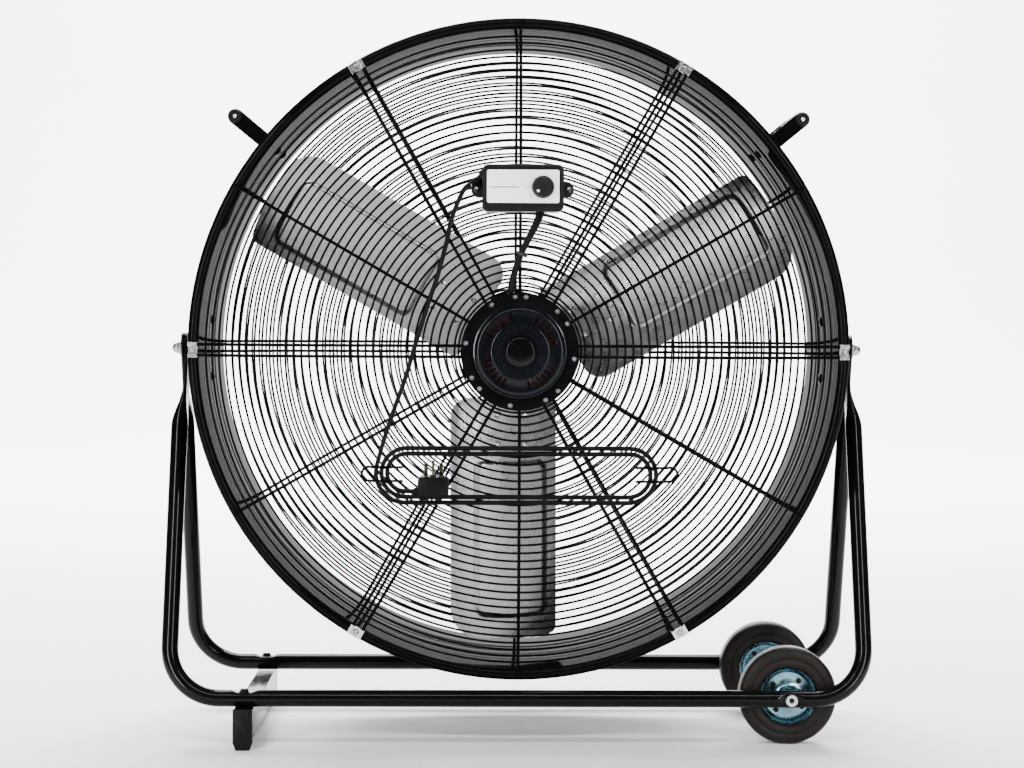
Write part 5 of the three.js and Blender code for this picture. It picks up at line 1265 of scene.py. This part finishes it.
def make_front_bell():
    """The bell inside the drum, with its cooling ribs."""
    r, face = MOTOR_RADIUS, MOTOR_FRONT_Y
    front = [(20.3, face), (30, face), (33, face - 1.5), (r - 12, face - 1.5)]
    front += rounding((r - 9, face - 10), 9, 85, 0, 8) + [(r, MOTOR_SPLIT_Y), (63, MOTOR_SPLIT_Y)]
    front += [(63, face - 10), (58, face - 6), (24.3, face - 6), (24.3, face - 11.6), (20.3, face - 11.6)]
    ribs = [Matrix.Rotation(-i * math.pi / 6, 4, "Y") for i in range(12)]
    bell = add(turned(front, 96), block((4, 34, 3), (r + 0.4, MOTOR_SPLIT_Y + 24, 0), 0.8), *ribs)
    finish(bell, "motor_front", "drum", "motor_black", ("motor_front_bell",), angle=30)


def make_mount_plate():
    """The ring on the guard's face that the motor hangs from, with its screws."""
    back, front = -GUARD_FACE_Y - CLEARANCE, -GUARD_FACE_Y - 3
    inner = MOTOR_RADIUS + 0.5
    outer = [(MOUNT_PLATE, back), (MOUNT_PLATE, front + 1), (MOUNT_PLATE - 0.8, front), (72, front)]
    plate = turned([(inner, back), *outer, (inner, front + 0.4)], 120)
    x, z = LEAD_THROUGH
    notch = turned([(0, -12), (5.2, -12), (5.2, 12), (0, 12)], 24)
    notch = add(bmesh.new(), notch, Matrix.Translation((x, back, z)))
    finish(cut(plate, notch), "mount_plate", "drum", "gloss_black", ("motor_flange",), angle=30)
    screws = bmesh.new()
    for degrees in PLATE_SCREWS:
        angle = math.radians(degrees)
        at = (PLATE_SCREW_AT * math.cos(angle), front, PLATE_SCREW_AT * math.sin(angle))
        add(screws, screw(4.0, 2.8), toward_inlet(at) @ Matrix.Rotation(angle, 4, "Y"))
    finish(screws, "plate_screws", "drum", "bare_steel")


def lead_path():
    """The lead's line from inside the control box, through the guard and into the motor."""
    x, z = LEAD_THROUGH
    radial = Vector((x, 0, z)).normalized()
    inlet = Vector((0, LEAD_TURN[1], 0))
    through = [Vector((x, -203, z + 1)), Vector((x, -196, z)), Vector((x, LEAD_TURN[0], z - 1))]
    ends = [radial * (MOTOR_RADIUS + 9) + inlet, radial * (MOTOR_RADIUS + 0.8) + inlet]
    return eased([*LEAD_ROUTE, *through, *ends], 6)


def make_lead():
    """Two sheathed wires from the control box that a tie brings together, and one sleeve on to the motor."""
    path = lead_path()
    tie = LEAD_TIE_AT
    aside = Vector((0.94, 0, 0.34))
    strands = bmesh.new()
    for hand in (-1, 1):
        spread = [hand * STRAND_ASIDE * (1 - smooth((i - 6) / (tie - 4)) * 0.5) for i in range(tie + 3)]
        line = [point + aside * off for point, off in zip(path, spread)]
        add(strands, bar(line, STRAND_RADIUS, 12))
    finish(strands, "lead_strands", "drum", "cord_black", ("motor_lead",), angle=70)
    sleeve = bar(path[tie:], mm(sizes().lead_radius), 16)
    finish(sleeve, "lead_sleeve", "drum", "cord_black", ("motor_lead",), angle=70)
    band = turned([(4.9, -2.2), (6.8, -2.2), (7.2, -1.6), (7.2, 1.6), (6.8, 2.2), (4.9, 2.2)], 32)
    add(band, block((4.6, 4.6, 6), (7.2, 0, 0), 0.6))
    place = Matrix.Translation(path[tie]) @ along(path[tie + 1] - path[tie - 1])
    finish(band, "lead_band", "drum", "tie_grey", ("lead_tie",), place=place)


# ---- fan ---------------------------------------------------------------------------------------------
def blade_height(across):
    """How far a blade's face stands along the air's way, at a place across it."""
    middle = sum(BLADE_EDGES) / 2
    part = (across - middle) / (BLADE_EDGES[1] - middle)
    return FAN_Y - BLADE_PITCH * (across - middle) - BLADE_CAMBER * (1 - part * part)


def blade_point(radius, across, offset=0):
    """A point of a blade before it is turned into its place."""
    reach = radius - (BLADE_TIP - math.sqrt(BLADE_TIP**2 - across**2))
    return Vector((reach, blade_height(across) + offset, -across))


def corner_inset(radius, corner):
    """How far a rounded corner takes the blade's edge in, at a radius."""
    from_end = min(radius - BLADE_ROOT, BLADE_TIP - radius, corner)
    return corner - math.sqrt(max(corner**2 - (corner - from_end) ** 2, 0))


def panel_lift(radius, across):
    """How far the pressed panel stands up at a place on the blade."""
    (low, high), (start, end) = PANEL_ACROSS, PANEL_LENGTHWAYS
    x = abs(radius - (start + end) / 2) - (end - start) / 2 + PANEL_CORNER
    y = abs(across - (low + high) / 2) - (high - low) / 2 + PANEL_CORNER
    outside = math.hypot(max(x, 0), max(y, 0)) + min(max(x, y), 0) - PANEL_CORNER
    return -PANEL_HEIGHT * smooth(-outside / PANEL_SLOPE)


def sheet(lengthways, across_at, lift, thickness, steps):
    """A sheet that follows the blade: a grid whose points move to their radius and place across."""
    bm = bmesh.new()
    bmesh.ops.create_grid(bm, x_segments=steps[0], y_segments=steps[1], size=0.5)
    for v in bm.verts:
        radius = blend(*lengthways, v.co.x + 0.5)
        across = blend(*across_at(radius), v.co.y + 0.5)
        v.co = blade_point(radius, across, lift(radius, across))
    bmesh.ops.recalc_face_normals(bm, faces=bm.faces)
    if sum(f.normal.y for f in bm.faces) > 0:
        bmesh.ops.reverse_faces(bm, faces=bm.faces)
    bmesh.ops.solidify(bm, geom=list(bm.faces), thickness=thickness)
    bmesh.ops.recalc_face_normals(bm, faces=bm.faces)
    return bm


def turn_to_blade(index):
    """Takes a blade made along X to its place round the shaft."""
    return Matrix.Rotation(-BLADE_FIRST - index * 2 * math.pi / BLADE_COUNT, 4, "Y")


def blade_edges(radius):
    """Where a blade's two edges are at a radius, with its corners rounded."""
    trailing, leading = [corner_inset(radius, corner) for corner in BLADE_CORNERS]
    return BLADE_EDGES[0] + trailing, BLADE_EDGES[1] - leading


def make_blades():
    """Three pressed blades with raised panels, their rivets, and the hub whose arms carry them."""
    places = [turn_to_blade(index) for index in range(BLADE_COUNT)]
    for index, place in enumerate(places):
        blade = sheet((BLADE_ROOT, BLADE_TIP), blade_edges, panel_lift, mm(sizes().blade_sheet), (168, 76))
        name = f"blade_{index + 1}"
        finish(blade, f"{name}_sheet", "fan", "sheet_aluminium", (name,), angle=50, place=place)
    radius, half = HUB_BOSS
    profile = [(8.4, -half), (radius - 6, -half), (radius - 5, 6 - half), (radius, 9 - half)]
    profile += [(r, -y) for r, y in reversed(profile)]
    hub = turned([(r, FAN_Y + y) for r, y in profile], 48)
    arm = sheet((radius / 2, ARM_END), lambda radius: ARM_ACROSS, lambda radius, across: 3.3, 4, (24, 12))
    finish(add(hub, arm, *places), "hub", "fan", "bare_steel", ("blade_spider",), angle=40)
    rivets = bmesh.new()
    lean = Matrix.Rotation(math.atan(BLADE_PITCH), 4, "X")
    for radius in RIVETS[0]:
        for across in RIVETS[1]:
            at = Matrix.Translation(blade_point(radius, across, 0.1)) @ lean @ half_turn(-1, "X")
            add(rivets, screw(6.5, 3.4), *(place @ at for place in places))
            back = Matrix.Translation(blade_point(radius, across, 7.2)) @ lean
            add(rivets, hexagon_head(6.5, 4), *(place @ back for place in places))
    finish(rivets, "blade_rivets", "fan", "zinc", slot="zinc")


# ---- control box -------------------------------------------------------------------------------------
def make_box():
    """The control box with its ears, its bevelled lid and the screws in the ears."""
    x, z = BOX_CENTRE
    back = BOX_BACK_Y
    shell = case(*BOX_SIZE, back, BOX_FRONT_Y, BOX_CENTRE, BOX_CORNER, 0.4, 1)
    for hand in (-1, 1):
        ear = turned([(0, back - 6), (9.5, back - 6), (11.8, back - 4.4), (12.3, back), (0, back)], 40)
        add(shell, ear, Matrix.Translation((x + hand * (EAR_X - 2.7), 0, z)))
    boss = turned([(0, -6), (9.5, -6), (9.5, 2.5), (8.2, 3.6), (0, 3.6)], 32)
    add(shell, boss, Matrix.Translation(CORD_EXIT) @ along(relief_direction()))
    finish(shell, "box", "drum", "satin_black", ("control_box",), angle=40)
    lid = case(*BOX_SIZE, BOX_FRONT_Y - CLEARANCE, LID_FRONT_Y, BOX_CENTRE, BOX_CORNER, 3.4, 4)
    finish(lid, "box_lid", "drum", "satin_black", ("control_box_lid",), angle=40)
    screws = bmesh.new()
    for at in (-EAR_X, EAR_X + 5.3):
        add(screws, screw(3.9, 2.2), toward_inlet((at, back - 6, z)))
    finish(screws, "box_screws", "drum", "zinc")


def make_dial():
    """The pale plate with its bare label line, dial marks and numbers."""
    centre = (BOX_CENTRE[0], BOX_CENTRE[1] + FACE_PLATE_RISE)
    plate = case(*FACE_PLATE, LID_FRONT_Y - CLEARANCE, FACE_PLATE_Y, centre, 3, 0.3, 2)
    finish(plate, "dial_plate", "drum", "silver_plate", ("face_plate",), angle=30)
    marks = bmesh.new()
    front = FACE_PLATE_Y - 0.05
    add(marks, block((41, 0.16, 1.6), (-24.6, front, 235.0), 0.05, 1))
    x, z = KNOB_CENTRE
    for step in range(3):
        angle = POINTER_ANGLE - step * DIAL_STEP
        side, up = math.cos(angle), math.sin(angle)
        at = Matrix.Translation((x + 19 * side, front, z + 19 * up)) @ Matrix.Rotation(-angle, 4, "Y")
        add(marks, block((3.4, 0.16, 0.8), (0, 0, 0), 0.05, 1), at)
        add(marks, number(str(step)), Matrix.Translation((x + 24.5 * side - 1.4, front, z + 24 * up - 2)))
    finish(marks, "dial_marks", "drum", "print_grey")


def number(words):
    """A plain number that stands in X and Z, as a mesh."""
    text = bpy.data.curves.new("number", "FONT")
    text.body = words
    text.size = 5.2
    text.extrude = 0.06
    holder = linked_object("number", text)
    graph = bpy.context.evaluated_depsgraph_get()
    mesh = bpy.data.meshes.new_from_object(holder.evaluated_get(graph))
    bm = bmesh.new()
    bm.from_mesh(mesh)
    bmesh.ops.rotate(bm, cent=(0, 0, 0), matrix=Matrix.Rotation(math.pi / 2, 3, "X"), verts=bm.verts)
    bpy.data.meshes.remove(mesh)
    bpy.data.objects.remove(holder)
    bpy.data.curves.remove(text)
    return bm


def make_knob():
    """The speed knob with its ribbed skirt and pointer dot."""
    x, z = KNOB_CENTRE
    depth = KNOB_BACK_Y - KNOB_FRONT_Y
    profile = [
        (0, -3), (3, -3), (3, 0), (KNOB_RADIUS, 0), (KNOB_RADIUS, 2.6), (KNOB_RADIUS - 1.2, 3.6),
        (KNOB_RADIUS - 2, depth - 2.6), (KNOB_RADIUS - 3, depth - 0.8), (KNOB_RADIUS - 4.6, depth),
        (KNOB_RADIUS - 6, depth - 0.5), (0, depth - 0.5),
    ]
    knob = turned(profile, 72, closed=False)
    rib = block((1.1, depth - 7, 1.3), (KNOB_RADIUS - 1.5, depth / 2 + 0.6, 0), 0.4, 1)
    add(knob, rib, *(Matrix.Rotation(i * math.pi / 14, 4, "Y") for i in range(28)))
    place = toward_inlet((x, KNOB_BACK_Y, z))
    finish(knob, "knob_body", "knob", "knob_grey", ("speed_knob",), slot="satin_black", place=place)
    dot_at = (x + 9.5 * math.cos(POINTER_ANGLE), KNOB_FRONT_Y + 0.5, z + 9.5 * math.sin(POINTER_ANGLE))
    dot = turned([(0, -0.4), (2, -0.4), (2, 0.5), (1.6, 0.9), (0, 0.9)], 24)
    finish(dot, "knob_dot", "knob", "silver_plate", ("speed_knob",), place=toward_inlet(dot_at))


# ---- stand -------------------------------------------------------------------------------------------
def frame_rows(side):
    """Half of a base frame as (across, rise up the leg, turn, flatness, width) rows, strap top first."""
    strap_x = STRAP_X[side]
    leg_x = STAND_WIDTH / 2 - mm(sizes().tube_radius)
    rows = []
    for degrees in (78, 60, 42, 24, 6):
        a = math.radians(degrees)
        rows.append((strap_x, LEG_LENGTH + STRAP_TOP * math.sin(a), 0, 1, math.cos(a)))
    rows += [(strap_x, LEG_LENGTH - share_of_strap * STRAP_LENGTH, 0, 1, 1) for share_of_strap in (0.4, 1)]
    for i in range(1, 11):
        part = smooth(i / 10)
        rise = LEG_LENGTH - STRAP_LENGTH - FLARE_LENGTH * i / 10
        rows.append((blend(strap_x, leg_x, part), rise, 0, 1 - part, 1))
    rows.append((leg_x, 0.5 * LEG_LENGTH, 0, 0, 1))
    for i in range(19):
        turn = math.pi / 2 * i / 18
        x, z = leg_x - BEND_RADIUS * (1 - math.cos(turn)), BEND_RADIUS * (1 - math.sin(turn))
        rows.append((x, z, turn, 0, 1))
    return rows


def frame_place(row, hand, side):
    """The section of a base frame at a row, on the left or right leg."""
    across, rise, turn, flat, width = row
    up = Vector((0, -side * math.sin(LEG_LEAN), math.cos(LEG_LEAN)))
    plane = Vector((0, side * math.cos(LEG_LEAN), math.sin(LEG_LEAN)))
    out = Vector((hand * math.cos(turn), 0, 0)) - up * math.sin(turn)
    radius = mm(sizes().tube_radius)
    centre = Vector((hand * across, side * TUBE_Y, AXLE_HEIGHT)) + up * rise
    thick = out * blend(radius, 0.45 * radius, flat)
    wide = plane * blend(radius, STRAP_HALF_WIDTH * width, flat)
    place = Matrix((thick, wide, thick.cross(wide).normalized())).transposed().to_4x4()
    place.translation = centre
    return place


def make_base_frames():
    """Two bent tubes whose ends are pressed flat for the tilt bolts."""
    radius = mm(sizes().tube_radius)
    limit = STRAP_THICKNESS / 2 / (0.45 * radius)
    for side, name in ((-1, "rear"), (1, "front")):
        rows = frame_rows(side)
        base = [(x, 0, math.pi / 2, 0, 1) for x in dent_stops()]
        left = [frame_place(row, -1, side) for row in rows]
        right = [frame_place(row, 1, side) for row in base + rows[::-1]]
        bm, sections = swept(left + right, 28)
        for (verts, place), row in zip(sections, rows + base + rows[::-1]):
            flat = row[3]
            if flat > 0:
                top, back = blend(1, limit, flat), place.inverted()
                for v in verts:
                    local = back @ v.co
                    local.x = min(max(local.x, -top), top)
                    v.co = place @ local
        for v in bm.verts:
            press_dents(v, side, radius)
        finish(bm, f"{name}_tube_frame", "stand", "gloss_black", (f"{name}_base_frame",), at=STAND_AT,
               angle=60)


def dent_stops():
    """Places along the base tube where it needs a section, closer together round its dents."""
    reach = STAND_WIDTH / 2 - BEND_RADIUS - 16
    steps = [i * 2.75 for i in range(-10, 11)]
    stops = [FOOT_X + step for step in steps] + [0] + [WHEEL_X + step for step in steps]
    return [x for x in stops if abs(x) < reach]


def press_dents(v, side, radius):
    """Presses the tube in under a bolt's head, on top over the foot and outside at the wheels."""
    def depth(x):
        """How deep the dent at this place is here."""
        return DENT_DEPTH * smooth(1.5 * (1 - abs(v.co.x - x) / DENT_LENGTH))

    if abs(v.co.x - FOOT_X) < DENT_LENGTH:
        v.co.z = min(v.co.z, AXLE_HEIGHT + radius - depth(FOOT_X))
    if abs(v.co.x - WHEEL_X) < DENT_LENGTH and v.co.z < AXLE_HEIGHT + 2 * radius:
        v.co.y = side * min(side * v.co.y, TUBE_Y + radius - depth(WHEEL_X))


def make_foot():
    """The foot bar with its two end caps and the bolts that hold it under the tubes."""
    width, run, height = FOOT_BAR
    foot = block((width, run, height), (FOOT_X, 0, FOOT_BAR_TOP - height / 2), 2.2, 3)
    finish(foot, "foot_tube", "stand", "gloss_black", ("foot_bar",), at=STAND_AT)
    half, top = width / 2, FOOT_BAR_TOP
    outline = [(-half + 4.5, 0), (half - 4.5, 0), (half, 11), (half, top), (-half, top), (-half, 11)]
    flat = Matrix.Rotation(math.pi / 2, 4, "X")
    for side, name in ((-1, "rear"), (1, "front")):
        start = side * (run / 2 + CLEARANCE)
        end = start + side * FOOT_CAP_THICKNESS
        cap = prism([(x + FOOT_X, z) for x, z in outline], min(start, end), max(start, end), 1.1, 3)
        add(cap, block((18, 1.2, 24), (FOOT_X, end, 32), 0.5))
        finish(cap, f"{name}_foot_end", "stand", "satin_black", (f"{name}_foot_cap",), at=STAND_AT)
        seat = Matrix.Translation((FOOT_X, side * TUBE_Y, AXLE_HEIGHT + 9.5))
        washer = turned([(0, 0), (8.4, 0), (8.4, 1.1), (0, 1.1)], 28, closed=False)
        bolt = add(bmesh.new(), washer, seat @ flat)
        add(bolt, hexagon_head(6.4, 4), seat @ Matrix.Translation((0, 0, 1)) @ flat)
        finish(bolt, f"{name}_foot_bolt_head", "stand", "gloss_black", (f"{name}_foot_bolt",), at=STAND_AT)


def wheel_place(side):
    """Takes a wheel part made along Y, with its outside at +Y, to its wheel."""
    return Matrix.Translation((WHEEL_X, side * WHEEL_Y, AXLE_HEIGHT)) @ half_turn(side, "X")


def tyre_half():
    """Half of the tyre's section: its wall with a groove, its shoulder and its tread."""
    outer, w = mm(sizes().wheel_radius), TYRE_HALF_WIDTH
    wall = [(RIM_RADIUS + 0.3, w - 3), (RIM_RADIUS + 3, w - 0.6), (RIM_RADIUS + 9, w)]
    wall += [(RIM_RADIUS + 12.6, w - 0.2), (RIM_RADIUS + 13.4, w - 1.3), (RIM_RADIUS + 14.4, w - 0.3)]
    return wall + rounding((outer - 9.5, w - 9.5), 9.3, 82, 8, 8) + [(outer - 0.05, w - 9), (outer, w - 12)]


def rim_half():
    """Half of the rim's section: its hub, its pressed face and its lip."""
    hub, end, edge, lip = HUB_RADIUS, HUB_HALF_LENGTH, RIM_RADIUS, TYRE_HALF_WIDTH - 2.2
    face = [(SLEEVE_RADIUS + 0.3, end), (hub - 1, end), (hub, end - 1), (hub + 0.6, 10), (hub + 3, 7.5)]
    face += [(hub + 8, 6.4), (edge - 13, 5.4), (edge - 8, 6.2), (edge - 4.4, lip - 3)]
    face.append((edge - 2.4, lip - 0.4))
    return face + [(edge - 0.8, lip + 0.6), (edge, lip - 0.4)]


def make_wheels():
    """Two solid-tyred wheels with pressed rims, each with its bush."""
    radius, turns = RIM_BOLTS
    for side, name in ((-1, "rear"), (1, "front")):
        body = f"{name}_wheel"
        wheel = {"at": STAND_AT, "place": wheel_place(side)}
        tyre = turned(both_ways(tyre_half()), 96)
        finish(tyre, f"{name}_tyre", body, "tyre_rubber", (f"{name}_wheel_tyre",), angle=50, **wheel)
        rim = turned(both_ways(rim_half()), 80)
        finish(rim, f"{name}_rim", body, "blue_zinc", (f"{name}_wheel_rim",), angle=40, **wheel)
        bolts = bmesh.new()
        for outside in (1, -1):
            for angle in map(math.radians, turns):
                at = Matrix.Translation((radius * math.cos(angle), outside * 5.7, radius * math.sin(angle)))
                add(bolts, hexagon_head(4.2, 3.2), at @ half_turn(outside, "X"))
        finish(bolts, f"{name}_rim_bolts", body, "satin_black", (f"{name}_wheel_rim",), **wheel)
        bush = turned([(6.1, -21.5), (SLEEVE_RADIUS, -21.5), (SLEEVE_RADIUS, 22.2), (6.1, 22.2)], 40)
        finish(bush, f"{name}_bush", body, "bare_steel", (f"{name}_wheel_bush",), **wheel)


def make_axle():
    """The axle through both base tubes, with its socket head, a dark disc of painted shade in the socket, and
    its nut.
    """
    shoulder = WHEEL_Y - HUB_HALF_LENGTH - 2
    head = -AXLE_SEAT - 6
    thin, thick, seat = AXLE_RADIUS, SLEEVE_RADIUS, AXLE_SEAT
    profile = [(0, head), (6.2, head), (8, head), (9, head + 1), (9, -seat), (thin, -seat), (thin, -shoulder)]
    profile += [(thick, -shoulder), (thick, shoulder), (thin, shoulder), (thin, seat + 9.2)]
    profile += [(thin - 1, seat + 10), (0, seat + 10)]
    axle = cut(turned(profile, 48, closed=False), prism(hexagon(5), head - 1, head + 3.5, 0))
    middle = {"at": (WHEEL_X, MIDDLE_Y, AXLE_HEIGHT)}
    finish(axle, "axle", "stand", "zinc", ("wheel_axle",), **middle)
    # A dark disc laid on the floor of the hex socket: painted shade for the socket's recess, not a real part.
    painted_shade = turned([(0, head + 2.6), (4.2, head + 2.6), (4.2, head + 3.8), (0, head + 3.8)], 6, closed=False)
    finish(painted_shade, "axle_socket_painted_shade", "stand", "satin_black", ("wheel_axle",), **middle)
    washer = turned([(6.3, -0.2), (11.5, -0.2), (11.5, 1.2), (6.3, 1.2)], 32)
    nut = add(hexagon_head(10, 9), washer)
    place = Matrix.Translation((0, seat + 0.2, 0))
    finish(nut, "axle_end_nut", "stand", "zinc", ("axle_nut",), place=place, **middle)


def make_pivots():
    """The tilt bolts with their acorn nuts outside the straps."""
    reach, radius, base = 14.9, 8.2, 7
    cap = [(0, 0), (13, 0), (13, 1.2), (12, 1.7), (radius, 1.9), (radius, base)]
    for i in range(1, 6):
        a = math.radians(15 * i)
        cap.append((radius * math.cos(a), base + (reach - base) * math.sin(a)))
    middle = (0, MIDDLE_Y, PIVOT_HEIGHT)
    for hand, name in ((-1, "left"), (1, "right")):
        nut = add(hexagon_head(9.6, 7.5), turned([*cap, (0, reach)], 36, closed=False))
        finish(nut, f"{name}_acorn_nut", "stand", "bare_steel", (f"{name}_dome_nut",), at=middle,
               place=half_turn(hand) @ sideways(STRAP_OUTSIDE_X + CLEARANCE))
        bolt = bar([(BRACKET_FACE_X - 4, 0, 0), (STRAP_OUTSIDE_X + 5, 0, 0)], 5, 24)
        head_at = BRACKET_FACE_X - BRACKET_PLATE - CLEARANCE
        add(bolt, hexagon_head(9, 6), sideways(head_at) @ half_turn(-1, "X"))
        finish(bolt, f"{name}_tilt_bolt", "stand", "zinc", (f"{name}_pivot_bolt",), at=middle,
               place=half_turn(hand))


def finish_inner_solids():
    """Gives the solids that stay, inside the motor and the box, their finishes."""
    looks = {
        "rotor_shaft": "bare_steel", "rear_bearing": "bare_steel", "front_bearing": "bare_steel",
        "stator_winding": "copper", "rotary_switch": "satin_black", "run_capacitor": "capacitor_grey",
    }
    for name, look in looks.items():
        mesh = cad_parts[name].data
        mesh.materials.clear()
        mesh.materials.append(finish_named(look))


# ---- the add-on --------------------------------------------------------------------------------------
class Making:
    """Shared by the operators: each makes its pieces and fails with an error if it can't."""

    bl_options = {"REGISTER"}
    make = ()

    def execute(self, context):
        """Makes the pieces; whatever goes wrong stops the operator with its error."""
        for step in self.make:
            step()
        return {"FINISHED"}


class DRUM_FAN_OT_camera(Making, bpy.types.Operator):
    """Set the camera at the photograph's viewpoint"""

    bl_idname = "drum_fan.camera"
    bl_label = "Camera"
    make = (make_camera,)


class DRUM_FAN_OT_cord(Making, bpy.types.Operator):
    """Lay the mains cord, its strain relief and its plug"""

    bl_idname = "drum_fan.cord"
    bl_label = "Cord and plug"
    make = (make_cord,)


class DRUM_FAN_OT_hooks(Making, bpy.types.Operator):
    """Bend the two cord hooks"""

    bl_idname = "drum_fan.hooks"
    bl_label = "Cord hooks"
    make = (make_hooks,)


class DRUM_FAN_OT_drum(Making, bpy.types.Operator):
    """Turn the drum's wall and rolled rims"""

    bl_idname = "drum_fan.drum"
    bl_label = "Drum"
    make = (make_drum,)


class DRUM_FAN_OT_guards(Making, bpy.types.Operator):
    """Weld the rings and spokes of both guards and clip them to the rims"""

    bl_idname = "drum_fan.guards"
    bl_label = "Guards and clips"
    make = (make_guards, make_clips)


class DRUM_FAN_OT_brackets(Making, bpy.types.Operator):
    """Press the brackets that take the tilt bolts"""

    bl_idname = "drum_fan.brackets"
    bl_label = "Tilt brackets"
    make = (make_brackets,)


class DRUM_FAN_OT_handles(Making, bpy.types.Operator):
    """Bend the carrying handles and fit their grips"""

    bl_idname = "drum_fan.handles"
    bl_label = "Handles"
    make = (make_handles,)


class DRUM_FAN_OT_motor(Making, bpy.types.Operator):
    """Make the motor's housing, mounting plate and screws"""

    bl_idname = "drum_fan.motor"
    bl_label = "Motor"
    make = (make_motor, finish_inner_solids)


class DRUM_FAN_OT_lead(Making, bpy.types.Operator):
    """Run the lead from the control box to the motor"""

    bl_idname = "drum_fan.lead"
    bl_label = "Motor lead"
    make = (make_lead,)


class DRUM_FAN_OT_blades(Making, bpy.types.Operator):
    """Press the blades and rivet them to their hub"""

    bl_idname = "drum_fan.blades"
    bl_label = "Blades and hub"
    make = (make_blades,)


class DRUM_FAN_OT_box(Making, bpy.types.Operator):
    """Mould the control box and fit its dial and knob"""

    bl_idname = "drum_fan.box"
    bl_label = "Control box"
    make = (make_box, make_dial, make_knob)


class DRUM_FAN_OT_base(Making, bpy.types.Operator):
    """Bend the two base frames and fit the tilt bolts"""

    bl_idname = "drum_fan.base"
    bl_label = "Base frames"
    make = (make_base_frames, make_pivots)


class DRUM_FAN_OT_foot(Making, bpy.types.Operator):
    """Fit the foot bar under the base frames"""

    bl_idname = "drum_fan.foot"
    bl_label = "Foot bar"
    make = (make_foot,)


class DRUM_FAN_OT_wheels(Making, bpy.types.Operator):
    """Turn the wheels and their axle"""

    bl_idname = "drum_fan.wheels"
    bl_label = "Wheels and axle"
    make = (make_wheels, make_axle)


class DRUM_FAN_OT_stage(Making, bpy.types.Operator):
    """Lay the studio floor and hang the lights"""

    bl_idname = "drum_fan.stage"
    bl_label = "Stage"
    make = (make_stage,)


OPERATORS = (
    DRUM_FAN_OT_camera, DRUM_FAN_OT_cord, DRUM_FAN_OT_hooks, DRUM_FAN_OT_drum, DRUM_FAN_OT_guards,
    DRUM_FAN_OT_brackets, DRUM_FAN_OT_handles, DRUM_FAN_OT_motor, DRUM_FAN_OT_lead, DRUM_FAN_OT_blades,
    DRUM_FAN_OT_box, DRUM_FAN_OT_base, DRUM_FAN_OT_foot, DRUM_FAN_OT_wheels, DRUM_FAN_OT_stage,
)


class DRUM_FAN_PT_pieces(bpy.types.Panel):
    """The drum fan's settings and pieces, in the sidebar"""

    bl_idname = "DRUM_FAN_PT_pieces"
    bl_label = "Drum fan"
    bl_space_type = "VIEW_3D"
    bl_region_type = "UI"
    bl_category = "Drum fan"

    def draw(self, context):
        """Lists the settings and a button for each operator."""
        layout = self.layout
        for settings in (context.scene.drum_fan_sizes, context.scene.drum_fan_colours):
            column = layout.column(align=True)
            for name in settings.__annotations__:
                column.prop(settings, name)
        for operator in OPERATORS:
            layout.operator(operator.bl_idname)


CLASSES = (DrumFanSizes, DrumFanColours, *OPERATORS, DRUM_FAN_PT_pieces)


def register():
    """Adds the settings, operators and panel."""
    for each in CLASSES:
        bpy.utils.register_class(each)
    bpy.types.Scene.drum_fan_sizes = bpy.props.PointerProperty(type=DrumFanSizes)
    bpy.types.Scene.drum_fan_colours = bpy.props.PointerProperty(type=DrumFanColours)


def unregister():
    """Takes them away again."""
    del bpy.types.Scene.drum_fan_colours
    del bpy.types.Scene.drum_fan_sizes
    for each in reversed(CLASSES):
        bpy.utils.unregister_class(each)


def main():
    """Makes everything in order."""
    register()
    for operator in OPERATORS:
        group, name = operator.bl_idname.split(".")
        getattr(getattr(bpy.ops, group), name)()


if __name__ == "__main__":
    main()
